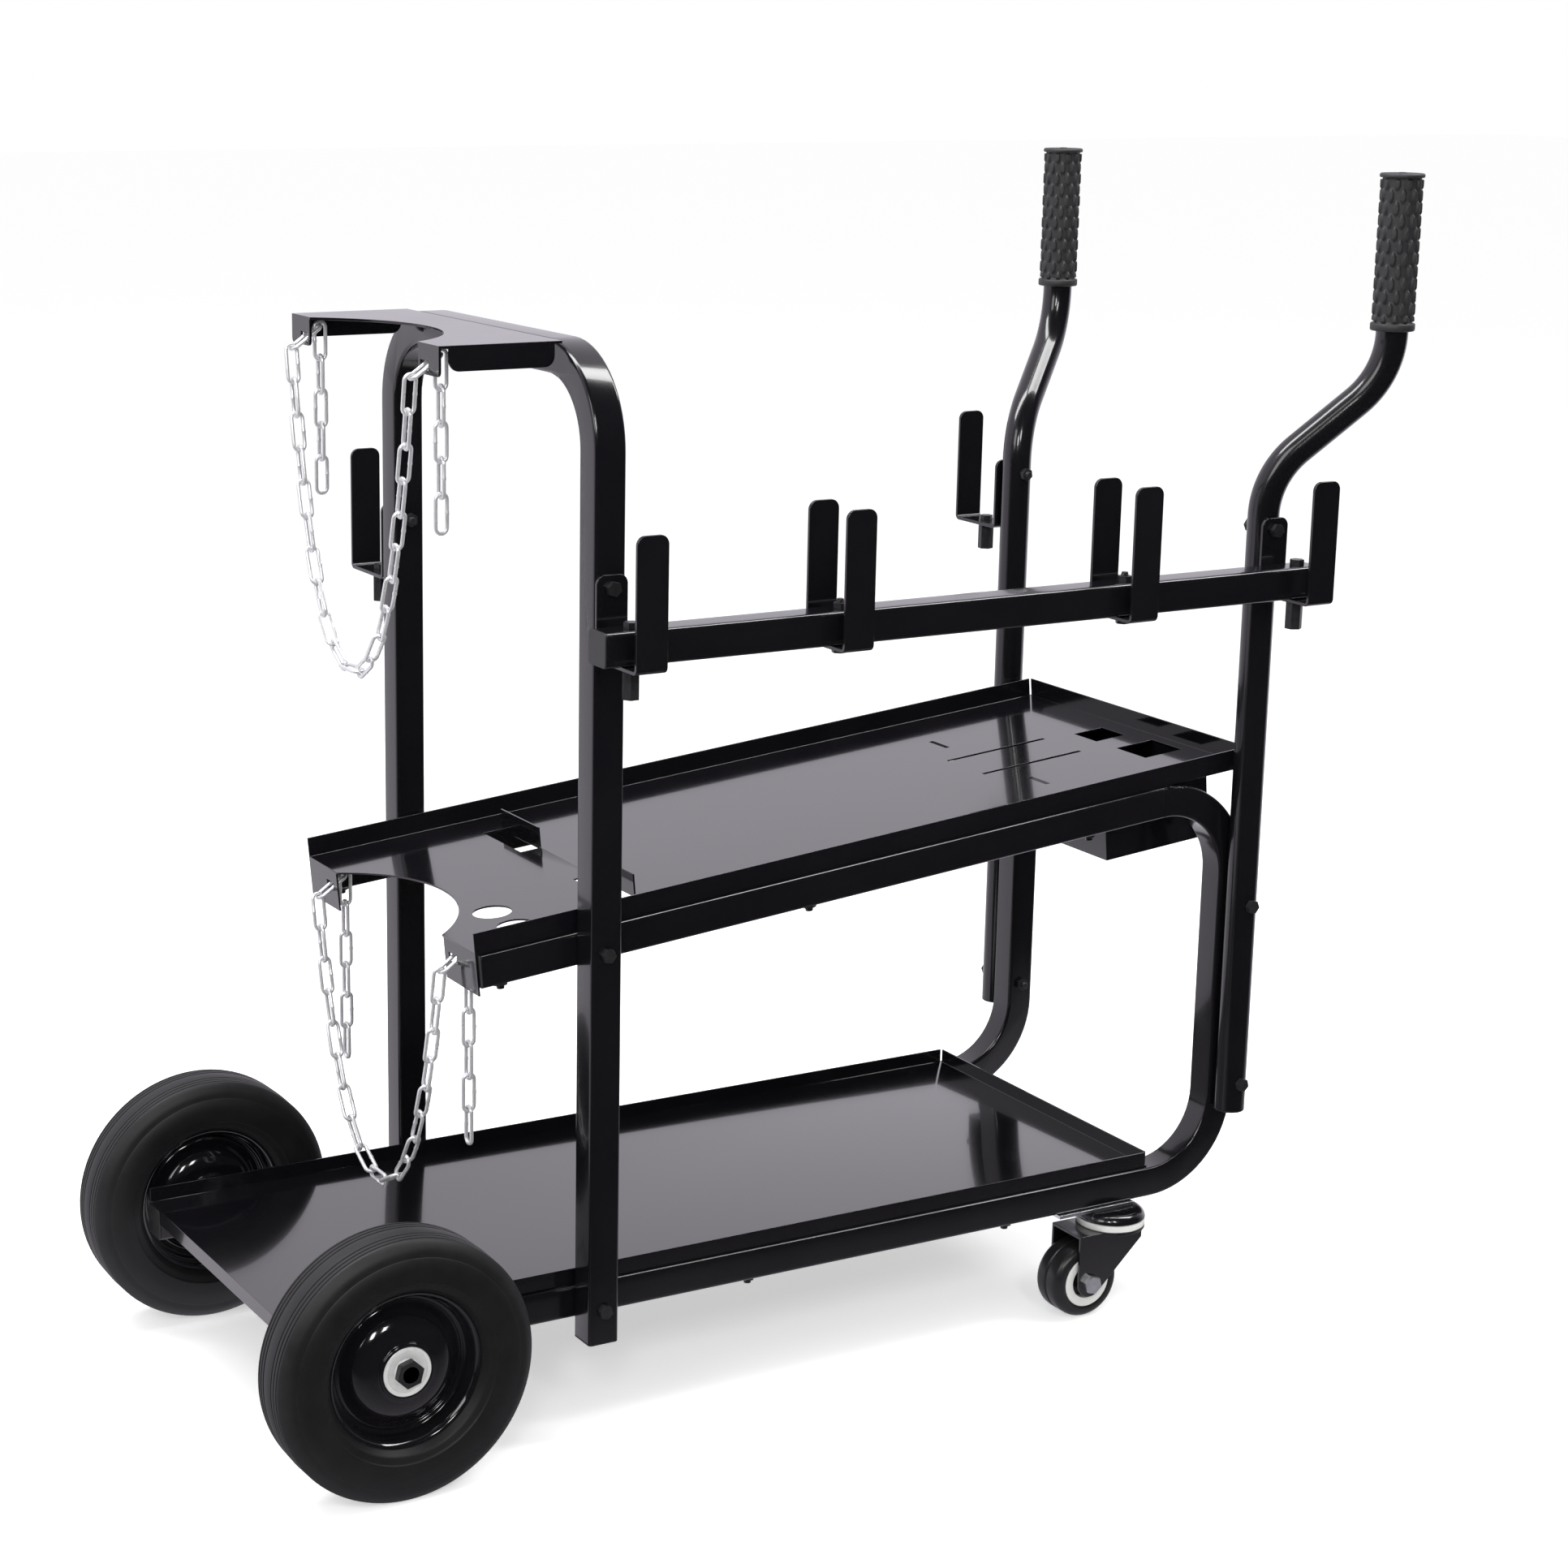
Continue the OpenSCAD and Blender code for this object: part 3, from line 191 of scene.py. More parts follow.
# gloss powder coat: a fine orange peel, slow waves of the sheet, faint haze and dust
def blackPaint(name, look):
    material, place = startMaterial(name)
    peel = noise(place, look["peelScale"], 1.5)
    wave = noise(place, look["waveScale"], 1.0)
    haze = noise(place, look["hazeScale"], 4.0, 0.6)
    fleck = ramp(noise(place, look["fleckScale"], 1.0), 0.70, 0.78)
    base = mixColour(ramp(haze, 0.35, 0.75), look["base"], look["hazeBase"])
    base = mixColour(fleck * look["fleckShare"], base, look["fleck"])
    height = peel * look["peel"] + wave * look["wave"]
    closeMaterial(place, base, drifting(haze, look), bump(place, height, mm),
                  coat=look["coat"], coatRoughness=look["coatRoughness"])
    return material


tubeLook = dict(base=(0.0042, 0.0038, 0.0052), hazeBase=(0.0060, 0.0055, 0.0070),
                fleck=(0.02, 0.02, 0.023), fleckScale=1400, fleckShare=0.25, peelScale=520,
                peel=0.018, waveScale=45, wave=0.10, hazeScale=11, roughness=0.17, spread=0.08,
                coat=0.4, coatRoughness=0.05)
trayLook = dict(tubeLook, peelScale=420, peel=0.010, waveScale=7, wave=0.30,
                roughness=0.13, spread=0.06, coat=0.6, coatRoughness=0.04)
rimLook = dict(tubeLook, peelScale=300, peel=0.012, waveScale=30, wave=0.05, roughness=0.12,
               coat=0.8)
casterLook = dict(rimLook, roughness=0.2)


# moulded rubber or plastic: a fine grain and cloudy wear
def moulded(name, look):
    material, place = startMaterial(name)
    grain = noise(place, look["grainScale"], 3.0)
    cloud = noise(place, look["cloudScale"], 4.0, 0.6)
    base = mixColour(ramp(cloud, 0.3, 0.8), look["base"], look["worn"])
    closeMaterial(place, base, drifting(cloud, look), bump(place, grain, look["grain"] * mm),
                  specular=look["specular"])
    return material


gripLook = dict(base=(0.020, 0.020, 0.022), worn=(0.030, 0.030, 0.032), grainScale=2600,
                grain=0.08, cloudScale=60, roughness=0.50, spread=0.16, specular=0.5)
plugLook = dict(gripLook, base=(0.012, 0.012, 0.013), worn=(0.018, 0.018, 0.019),
                grainScale=1800, grain=0.05, roughness=0.42)
treadLook = dict(gripLook, base=(0.010, 0.010, 0.011), worn=(0.015, 0.015, 0.016),
                 grainScale=1500, grain=0.03, roughness=0.30, spread=0.1)
casterWhiteLook = dict(base=(0.74, 0.74, 0.72), worn=(0.66, 0.66, 0.64), grainScale=900,
                       grain=0.02, cloudScale=80, roughness=0.28, spread=0.1, specular=0.5)


# tyre rubber: fine rings left by the mould run round the axle, with dust towards the tread
def tyreRubber(name, look, axle):
    material, place = startMaterial(name)
    centred = place.node("Mapping", {"Vector": place, "Location": (-axle.x, 0, -axle.z)})
    x, z = axisOf(centred, 0), axisOf(centred, 2)
    radius = (x * x + z * z) ** 0.5
    rings = radius.node("Math", {0: radius * (2 * math.pi / look["ringPitch"])},
                        operation="SINE")
    grain = noise(place, look["grainScale"], 3.0)
    cloud = noise(place, look["cloudScale"], 4.0, 0.65)
    dusty = ramp(radius, look["dustFrom"], look["dustTo"])
    base = mixColour(ramp(cloud, 0.3, 0.8), look["base"], look["worn"])
    base = mixColour(dusty * (cloud * look["dustShare"]), base, look["dust"])
    height = rings * look["ring"] + grain * look["grain"]
    closeMaterial(place, base, drifting(cloud, look), bump(place, height, mm),
                  specular=look["specular"])
    return material


tyreLook = dict(base=(0.0050, 0.0050, 0.0056), worn=(0.0085, 0.0085, 0.0092),
                dust=(0.022, 0.022, 0.024), dustFrom=0.085, dustTo=0.102, dustShare=0.9,
                ringPitch=0.0011, ring=0.008, grainScale=1500, grain=0.03, cloudScale=34,
                roughness=0.52, spread=0.16, specular=0.4)


# zinc plate and bright steel: crystals and faint pits under a soft gloss
def plated(name, look):
    material, place = startMaterial(name)
    crystal = place.node("TexVoronoi", {"Vector": place, "Scale": look["crystalScale"]})
    cloud = noise(place, look["cloudScale"], 4.0, 0.6)
    base = mixColour(ramp(cloud, 0.3, 0.75), look["base"], look["dull"])
    height = crystal * look["crystal"] + cloud * look["pit"]
    closeMaterial(place, base, drifting(cloud, look), bump(place, height, mm),
                  metallic=look["metallic"])
    return material


zincLook = dict(base=(0.86, 0.87, 0.89), dull=(0.66, 0.67, 0.70), crystalScale=900,
                crystal=0.01, cloudScale=160, pit=0.05, roughness=0.32, spread=0.16, metallic=1.0)
steelLook = dict(zincLook, base=(0.70, 0.70, 0.71), dull=(0.50, 0.50, 0.52), roughness=0.30)
bearingLook = dict(zincLook, base=(0.86, 0.86, 0.85), dull=(0.74, 0.74, 0.73), roughness=0.34,
                   metallic=0.4)
chainLook = dict(zincLook, base=(0.88, 0.88, 0.89), dull=(0.74, 0.74, 0.76), roughness=0.30,
                 metallic=0.65)
oxideLook = dict(zincLook, base=(0.030, 0.030, 0.033), dull=(0.050, 0.050, 0.053),
                 roughness=0.34, spread=0.14, metallic=0.6)

# the record's material slots and the finish of each
finishes = {
    "frame_paint": blackPaint("tubePaint", tubeLook),
    "tray_paint": blackPaint("trayPaint", trayLook),
    "rim_paint": blackPaint("rimPaint", rimLook),
    "caster_paint": blackPaint("casterPaint", casterLook),
    "grip_rubber": moulded("gripRubber", gripLook),
    "plug_plastic": moulded("plugPlastic", plugLook),
    "caster_tread": moulded("casterTread", treadLook),
    "white_plastic": moulded("casterWhite", casterWhiteLook),
    "tyre_rubber": tyreRubber("tyreRubber", tyreLook, middleOf("axle")),
    "black_fasteners": plated("blackOxide", oxideLook),
    "steel": plated("turnedSteel", steelLook),
    "bearing_steel": plated("bearingSteel", bearingLook),
    "zinc": plated("zincPlate", zincLook),
    "chain_zinc": plated("chainZinc", chainLook),
}
for node, piece in nodes.items():
    piece.data.materials.clear()
    piece.data.materials.append(finishes[slotOf[node]])
print("finishes: %d materials" % len(finishes))


# makes a finished piece of a bmesh that is already in its place on the cart
def finishPiece(bm, name, node, slot=None, rounding=0.0, segments=2, angle=32):
    slot = slot or slotOf[node]
    mesh = bpy.data.meshes.new(name)
    bm.to_mesh(mesh)
    bm.free()
    mesh.polygons.foreach_set("use_smooth", [True] * len(mesh.polygons))
    mesh.set_sharp_from_angle(angle=math.radians(angle))
    mesh.materials.append(finishes[slot])
    piece = bpy.data.objects.new(name, mesh)
    bpy.context.scene.collection.objects.link(piece)
    if rounding:
        rolled = piece.modifiers.new("rolledEdge", "BEVEL")
        rolled.width = rounding
        rolled.segments = segments
        rolled.limit_method = "ANGLE"
        rolled.angle_limit = math.radians(angle)
        rolled.harden_normals = True
        rolled.use_clamp_overlap = False
    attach(piece, bodyOf[node])
    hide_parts(node)


# the CAD node's own surface as one closed mesh
def closedCopy(node):
    bm = bmesh.new()
    bm.from_mesh(nodes[node].data)
    bmesh.ops.remove_doubles(bm, verts=bm.verts, dist=0.001 * mm)
    return bm


# the same piece with its sharp edges rolled over, as paint and stamping leave them
def rollEdges(node, rounding, segments=2):
    bm = closedCopy(node)
    bmesh.ops.dissolve_limit(bm, angle_limit=math.radians(0.4), verts=bm.verts, edges=bm.edges)
    finishPiece(bm, node + "_piece", node, rounding=rounding, segments=segments)


# each separate solid of a node, as an array of its points
def solidsOf(node):
    bm = closedCopy(node)
    bm.verts.ensure_lookup_table()
    seen = [False] * len(bm.verts)
    groups = []
    for start in bm.verts:
        if seen[start.index]:
            continue
        seen[start.index] = True
        waiting, group = [start], []
        while waiting:
            vert = waiting.pop()
            group.append(tuple(vert.co))
            for edge in vert.link_edges:
                other = edge.other_vert(vert)
                if not seen[other.index]:
                    seen[other.index] = True
                    waiting.append(other)
        groups.append(np.array(group))
    bm.free()
    return groups


# a profile of (radius, height, cut-back of the corner) in millimetres, put into metres
def metres(profile):
    return [tuple(value * mm for value in point) for point in profile]


# the same corners on the other face, in the order that goes on round the profile
def mirrored(profile):
    return [(r, -z, cut) for r, z, cut in reversed(profile)]


# turns a profile about Z: a closed one makes a ring, an open one starts or ends on the axis
def turned(profile, steps=64, closed=True, arcs=3):
    bm = bmesh.new()
    points = [bm.verts.new((r, 0, z)) for r, z, cut in profile]
    pairs = list(zip(points, points[1:] + points[:1]))
    for a, b in pairs if closed else pairs[:-1]:
        bm.edges.new((a, b))
    for point, (r, z, cut) in zip(points, profile):
        if cut:
            bmesh.ops.bevel(bm, geom=[point], offset=cut, offset_type="OFFSET", segments=arcs,
                            profile=0.5, affect="VERTICES", material=-1)
    bmesh.ops.spin(bm, geom=bm.verts[:] + bm.edges[:], cent=(0, 0, 0), axis=upright,
                   angle=2 * math.pi, steps=steps, use_merge=True)
    bmesh.ops.remove_doubles(bm, verts=bm.verts, dist=0.001 * mm)
    bmesh.ops.recalc_face_normals(bm, faces=bm.faces)
    return bm


# moves a bmesh that is made about Z so that Z points along an axis from a place
def stand(bm, place, axis=upright, roll=0.0):
    turn = Vector(axis).to_track_quat("Z", "Y").to_matrix().to_4x4()
    move = Matrix.Translation(place) @ turn @ Matrix.Rotation(roll, 4, "Z")
    bmesh.ops.transform(bm, matrix=move, verts=bm.verts)
    return bm


def joined(parts):
    whole = bmesh.new()
    for part in parts:
        mesh = bpy.data.meshes.new("part")
        part.to_mesh(mesh)
        part.free()
        whole.from_mesh(mesh)
        bpy.data.meshes.remove(mesh)
    return whole


def turnedPiece(name, node, profile, centre, axis=acrossCart, steps=64, arcs=3, angle=45,
                slot=None):
    bm = stand(turned(metres(profile), steps, arcs=arcs), centre, axis)
    finishPiece(bm, name, node, slot, angle=angle)


def vertsOf(row):
    return [part for part in row if isinstance(part, bmesh.types.BMVert)]


def edgesOf(row):
    return [part for part in row if isinstance(part, bmesh.types.BMEdge)]


# draws the open end of a tube or wire on by a move, and gives its new end
def drawOn(bm, row, move):
    made = bmesh.ops.extrude_edge_only(bm, edges=edgesOf(row))["geom"]
    verts = vertsOf(made)
    bmesh.ops.translate(bm, verts=verts, vec=move)
    return verts + [edge for edge in edgesOf(made) if all(v in verts for v in edge.verts)]


# bends the open end of a tube or wire on about an axis, and gives its new end
def bendOn(bm, row, centre, axis, angle, steps):
    return bmesh.ops.spin(bm, geom=row, cent=centre, axis=axis, angle=angle, steps=steps,
                          use_merge=False)["geom_last"]


# frame, trays and strips keep their CAD shape and get rolled edges
rolledEdge = dict(tube=0.35 * mm, sheet=0.3 * mm, strip=0.5 * mm, plug=0.7 * mm, fork=0.5 * mm,
                  plate=0.4 * mm, plugSegments=3)
for node in ("arch", "side_frame_near", "side_frame_far", "cable_rail"):
    rollEdges(node, rolledEdge["tube"])
for node in ("lower_tray", "upper_tray", "tool_pocket", "bottle_bracket"):
    rollEdges(node, rolledEdge["sheet"])
for node in ("rail_hook_bottle_end", "rail_hook_handle_end", "arch_hook_near", "arch_hook_far",
             "handle_hook_near", "handle_hook_far"):
    rollEdges(node, rolledEdge["strip"])
for node in ("tube_plugs", "rail_plugs"):
    rollEdges(node, rolledEdge["plug"], rolledEdge["plugSegments"])
for side in sides:
    rollEdges("caster_fork_" + side, rolledEdge["fork"])
rollEdges("caster_plates", rolledEdge["plate"])
print("frame and trays: edges rolled")


# a solid rubber tyre: sidewall steps, a slightly crowned tread and grooves at its shoulders
tyre = dict(wall=[(60.0, 17.2, 0.4), (64.0, 22.6, 1.2), (69.0, 24.3, 0.8), (69.8, 25.3, 0.5),
                  (78.0, 25.3, 0.0), (88.5, 24.9, 0.0), (89.1, 24.2, 0.3), (94.0, 23.6, 2.0),
                  (99.4, 19.9, 2.6)],
            shoulder=101.1, shoulderAt=17.6, crown=101.6, treadHalf=17.2,
            grooves=(6.9, 11.3, 15.6), grooveTop=0.7, grooveFloor=0.4, grooveDepth=1.6, steps=128)


def tyreProfile(size):
    shoulder, crown = size["shoulder"], size["crown"]
    half = size["wall"] + [(shoulder, size["shoulderAt"], 0.9)]
    for groove in reversed(size["grooves"]):
        r = shoulder + (crown - shoulder) * (1 - groove / size["treadHalf"])
        deep = r - size["grooveDepth"]
        half += [(r, groove + size["grooveTop"], 0.25), (deep, groove + size["grooveFloor"], 0.2),
                 (deep, groove - size["grooveFloor"], 0.2), (r, groove - size["grooveTop"], 0.25)]
    return half + [(crown, 0, 0)] + mirrored(half)


# a pressed steel rim: hub boss, domed disc, deep valley with a step and a flared lip
rim = dict(half=[(19.25, 18.6, 0.3), (21.4, 18.6, 0.7), (22.2, 16.8, 0.6), (27.0, 16.4, 1.6),
                 (32.0, 15.4, 1.8), (36.5, 13.5, 1.8), (40.5, 10.4, 1.8), (43.8, 6.0, 1.8),
                 (46.6, 2.4, 1.2), (49.6, 1.6, 0.8), (50.6, 3.4, 0.8), (53.4, 4.0, 1.2),
                 (55.6, 13.8, 2.0), (58.2, 16.9, 1.0), (59.8, 17.3, 0.3)],
           steps=96, arcs=4)

# a shielded ball bearing in each end of the hub: inner race, dished shield and outer race
bearing = dict(long=9.0, races=[(6.4, 9.0, 0.3), (9.6, 9.0, 0.4), (9.9, 8.3, 0.2),
                                (10.8, 8.1, 0.3), (15.6, 8.5, 0.3), (15.8, 8.9, 0.2),
                                (16.0, 9.0, 0.2), (19.0, 9.0, 0.5), (19.0, 0.0, 0.4),
                                (6.4, 0.0, 0.3)])

for side in sides:
    hub = middleOf("tyre_" + side)
    turnedPiece("tyre_%s_piece" % side, "tyre_" + side, tyreProfile(tyre), hub,
                steps=tyre["steps"], angle=50)
    turnedPiece("rim_%s_piece" % side, "rim_" + side, rim["half"] + mirrored(rim["half"]), hub,
                steps=rim["steps"], arcs=rim["arcs"], angle=60)
    low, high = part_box("bearings_" + side)
    long = bearing["long"] * mm
    pair = [stand(turned(metres(bearing["races"])), (hub.x, y, hub.z), (0, out, 0))
            for y, out in ((low.y + long, -1), (high.y - long, 1))]
    finishPiece(joined(pair), "bearings_%s_piece" % side, "bearings_" + side, angle=40)
print("rear wheels: tyres, rims and bearings turned")


# handles: one smooth round tube each, straight up, bent outwards, and upright again at its neck
handle = dict(radius=12.7, turn=48.0, bend=74.0, neckAt=815.0, around=56, arc=24)


def bentHandle(size, foot, top, reach):
    turn, bend = math.radians(size["turn"]), size["bend"] * mm
    neck = size["neckAt"] * mm
    between = (reach - 2 * bend * (1 - math.cos(turn))) / math.sin(turn)
    start = neck - 2 * bend * math.sin(turn) - between * math.cos(turn)
    bm = bmesh.new()
    bmesh.ops.create_circle(bm, segments=size["around"], radius=size["radius"] * mm)
    bmesh.ops.translate(bm, verts=bm.verts, vec=(0, 0, foot))
    row = drawOn(bm, bm.verts[:] + bm.edges[:], (0, 0, start - foot))
    row = bendOn(bm, row, (bend, 0, start), (0, 1, 0), turn, size["arc"])
    row = drawOn(bm, row, (between * math.sin(turn), 0, between * math.cos(turn)))
    row = bendOn(bm, row, (reach - bend, 0, neck), (0, -1, 0), turn, size["arc"])
    drawOn(bm, row, (0, 0, top - neck))
    bmesh.ops.holes_fill(bm, edges=bm.edges, sides=0)
    bmesh.ops.recalc_face_normals(bm, faces=bm.faces)
    return bm


for side, way in sides.items():
    low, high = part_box("handle_" + side)
    r = handle["radius"] * mm
    foot = Vector((low.x + r, high.y - r if way < 0 else low.y + r, 0))
    lean = (middleOf("grip_" + side) - foot).xy
    bm = bentHandle(handle, low.z, high.z, lean.length)
    place = Matrix.Translation(foot) @ Matrix.Rotation(math.atan2(lean.y, lean.x), 4, "Z")
    bmesh.ops.transform(bm, matrix=place, verts=bm.verts)
    finishPiece(bm, "handle_%s_piece" % side, "handle_" + side)
print("handles: tubes bent twice")


# ribbed grips: staggered oval pads on a sleeve with a collar below and a cap above
grip = dict(bore=12.9, sleeve=14.9, collar=6.0, cap=4.0, land=1.2, corner=0.7, nub=4.0,
            pad=1.9, padHalfWide=2.3, padHalfTall=5.8, padFlat=1.6, padRound=0.7, columns=20,
            pitch=19.6, around=200, along=190)


def gripProfile(size, tall, r):
    sleeve, collar, cap = size["sleeve"], size["collar"], tall - size["cap"]
    start, stop = collar + size["land"], cap - size["land"]
    below = [(size["bore"], 0.3), (size["bore"] + 1.3, 0), (r - size["corner"], 0), (r, 0.8),
             (r, collar - 0.8), (r - size["corner"], collar), (sleeve + 0.4, collar + 0.2)]
    rows = [(sleeve, start + (stop - start) * i / size["along"]) for i in range(size["along"] + 1)]
    above = [(sleeve + 0.4, cap - 0.2), (r - 0.6, cap), (r, cap + 0.6), (r, tall - 1.7),
             (r - 0.9, tall - 0.8), (size["nub"], tall - 0.8), (size["nub"] - 0.6, tall - 0.2),
             (size["nub"] - 1.2, tall), (0, tall)]
    return [(out, up, 0) for out, up in below + rows + above]


# pushes the sleeve out where a point lies inside the nearest oval of its column
def raisePads(bm, size, start, stop):
    sleeve, pitch = size["sleeve"] * mm, size["pitch"] * mm
    halfWide, halfTall = size["padHalfWide"] * mm, size["padHalfTall"] * mm
    wide = 2 * math.pi * sleeve / size["columns"]
    for vert in bm.verts:
        z = vert.co.z
        if not start < z < stop or abs(vert.co.xy.length - sleeve) > 0.05 * mm:
            continue
        across = math.atan2(vert.co.y, vert.co.x) * sleeve / wide
        column = round(across)
        row = (z - start) / pitch + (0.5 if column % 2 else 0.0)
        dx, dz = (across - column) * wide, (row - math.floor(row) - 0.5) * pitch
        inside = 1 - (dx / halfWide) ** 2 - (dz / halfTall) ** 2
        if inside > 0:
            share = min(1, inside * size["padFlat"]) ** size["padRound"]
            grow = 1 + size["pad"] * mm * share / sleeve
            vert.co.x *= grow
            vert.co.y *= grow


for side in sides:
    low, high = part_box("grip_" + side)
    tall = high.z - low.z
    profile = gripProfile(grip, tall / mm, (high.x - low.x) / 2 / mm)
    bm = turned(metres(profile), grip["around"], closed=False)
    raisePads(bm, grip, (grip["collar"] + grip["land"]) * mm,
              tall - (grip["cap"] + grip["land"]) * mm)
    stand(bm, ((low.x + high.x) / 2, (low.y + high.y) / 2, low.z))
    finishPiece(bm, "grip_%s_piece" % side, "grip_" + side, angle=70)
print("grips: sleeves with oval pads")


# casters: a domed cup over a white ring, and a wheel of tread, white core and dark web
cup = dict(wide=28.75, tall=7.5, rivet=5.0, rivetHead=2.0)
ring = dict(bore=5.1, corner=0.8)
tread = dict(bore=22.0, shoulder=4.2, shoulderDown=4.6, groove=1.6, grooveFloor=0.8,
             grooveDepth=1.2, steps=96)
core = dict(bore=14.2, wide=21.7, steps=96)
web = dict(bore=4.1, hub=7.6, neck=8.0, neckHalf=6.0, wide=14.3, wideHalf=7.6)


def cupProfile(size, tall):
    flat, brim = size["wide"] - size["tall"], tall - size["tall"]
    head, rivet = size["rivetHead"], size["rivet"]
    dome = [(flat + size["tall"] * math.cos(math.radians(a)),
             brim + size["tall"] * math.sin(math.radians(a)), 0) for a in range(10, 91, 10)]
    return [(0, 0, 0), (rivet + head, 0, 0.5), (rivet + head, head, 0.4), (rivet, head, 0),
            (rivet, brim, 0), (size["wide"], brim, 0.4)] + dome + [(0, tall, 0)]


def ringProfile(size, tall, r):
    bore, corner = size["bore"], size["corner"]
    return [(bore, tall, 0.2), (r - corner, tall, 0.6), (r, tall - corner, 0.6),
            (r, corner, 0.6), (r - corner, 0.0, 0.6), (bore, 0.0, 0.2)]


def treadProfile(size, half, r):
    bore, deep = size["bore"], r - size["grooveDepth"]
    face = [(bore, 0.6 - half, 0.3), (bore + 2, -half, 0.5), (r - size["shoulder"], -half, 2.2),
            (r, size["shoulderDown"] - half, 2.4), (r, -size["groove"], 0.5),
            (deep, -size["grooveFloor"], 0.3)]
    return face + mirrored(face)


def coreProfile(size, half):
    face = [(size["bore"], 0.6 - half, 0.4), (size["wide"], 0.2 - half, 0.7)]
    return face + mirrored(face)


def webProfile(size, half):
    face = [(size["bore"], -half, 0.3), (size["hub"], -half, 0.5),
            (size["neck"], -size["neckHalf"], 1.0), (size["wide"], -size["wideHalf"], 0.5)]
    return face + mirrored(face)


low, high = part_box("caster_cups")
cups = []
for side in sides:
    swivel = middleOf("caster_ring_" + side)
    shell = turned(metres(cupProfile(cup, (high.z - low.z) / mm)), closed=False)
    cups.append(stand(shell, (swivel.x, swivel.y, low.z)))
finishPiece(joined(cups), "caster_cups_piece", "caster_cups", angle=40)

for side in sides:
    node = "caster_ring_" + side
    low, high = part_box(node)
    profile = ringProfile(ring, (high.z - low.z) / mm, (high.x - low.x) / 2 / mm)
    base = ((low.x + high.x) / 2, (low.y + high.y) / 2, low.z)
    turnedPiece(node + "_piece", node, profile, base, upright)

    node = "caster_tread_" + side
    low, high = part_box(node)
    wheel = (low + high) / 2
    half, r = (high.y - low.y) / 2 / mm, (high.z - low.z) / 2 / mm
    turnedPiece(node + "_piece", node, treadProfile(tread, half, r), wheel, steps=tread["steps"])

    node = "caster_core_" + side
    turnedPiece(node + "_ring", node, coreProfile(core, half), wheel, steps=core["steps"])
    low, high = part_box(node)
    turnedPiece(node + "_web", node, webProfile(web, (high.y - low.y) / 2 / mm), wheel,
                slot="caster_tread")
print("casters: cups, rings and wheels turned")


# bolts and nuts: every solid of a node is measured and made again with a chamfered hexagon and
# a thread; chamfer and hexFrom are shares of the head's radius, root to point of the thread's
bolt = dict(chamfer=0.16, hexFrom=0.97, rounding=0.22, pitch=0.32, crest=0.35, root=0.86,
            pointFrom=0.84, point=0.7, pointTall=0.3, runOut=0.6, steps=24)
trayTilt = math.radians(5.3)  # the upper tray's slope, which its nuts follow


def hexPrism(flats, tall, chamfer):
    bm = bmesh.new()
    bmesh.ops.create_cone(bm, cap_ends=True, segments=6, radius1=flats / math.sqrt(3),
                          radius2=flats / math.sqrt(3), depth=tall)
    bmesh.ops.translate(bm, verts=bm.verts, vec=(0, 0, tall / 2))
    tops = [vert for vert in bm.verts if vert.co.z > tall / 2]
    bmesh.ops.bevel(bm, geom=tops, offset=chamfer, offset_type="OFFSET", segments=3, profile=0.5,
                    affect="VERTICES", material=-1)
    return bm


def threaded(size, radius, tall):
    pitch, root = radius * size["pitch"], radius * size["root"]
    turns = max(1, int((tall - size["runOut"] * mm) / pitch))
    profile = [(0, 0, 0), (root, 0, 0)]
    for i in range(turns):
        profile += [(radius, pitch * (i + size["crest"]), 0), (root, pitch * (i + 1), 0)]
    profile += [(radius * size["pointFrom"], tall - size["pointTall"] * mm, 0),
                (radius * size["point"], tall, 0), (0, tall, 0)]
    return turned(profile, size["steps"], closed=False)


def fasteners(node, axis=acrossCart, seed=3):
    luck = random.Random(seed)
    axis = Vector(axis).normalized()
    parts = []
    for points in solidsOf(node):
        along = points @ np.array(axis)
        flat = points - np.outer(along, np.array(axis))
        centre = (flat.max(0) + flat.min(0)) / 2
        radius = np.linalg.norm(flat - centre, axis=1)
        centre, wide = Vector(centre), radius.max()
        low, high = along.min(), along.max()
        ends = [radius[np.abs(along - end) < 0.05 * mm].max() for end in (low, high)]
        flats, chamfer = wide * math.sqrt(3), wide * bolt["chamfer"]
        roll = luck.uniform(0, math.pi / 3)
        if min(ends) > bolt["hexFrom"] * wide:
            nut = hexPrism(flats, high - low, chamfer)
            parts.append(stand(nut, centre + axis * low, axis, roll))
            continue
        headWay = axis
        if ends[0] >= ends[1]:  # the head is at the low end, so it is seen from there
            headWay, along, low, high = -axis, -along, -high, -low
        under = along[radius > bolt["hexFrom"] * wide].min()
        seat = centre + headWay * under
        parts.append(stand(hexPrism(flats, high - under, chamfer), seat, headWay, roll))
        parts.append(stand(threaded(bolt, min(ends), under - low), seat, -headWay, roll))
    finishPiece(joined(parts), node + "_piece", node, rounding=bolt["rounding"] * mm, angle=28)


for node in ("arch_bolts", "handle_bolts", "hook_bolts"):
    fasteners(node)
for node in ("hook_pegs", "rail_bolts", "lower_tray_nuts"):
    fasteners(node, upright)
fasteners("upper_tray_nuts", (-math.sin(trayTilt), 0, math.cos(trayTilt)))
for side in sides:
    fasteners("caster_axle_" + side)
fasteners("axle_nuts")
print("fasteners: heads, nuts and threads")


# chain links: round wire bent to a racetrack and butt welded in the middle of one leg
link = dict(around=14, bend=10, weld=1.16, taper=0.8, bead=1.0)


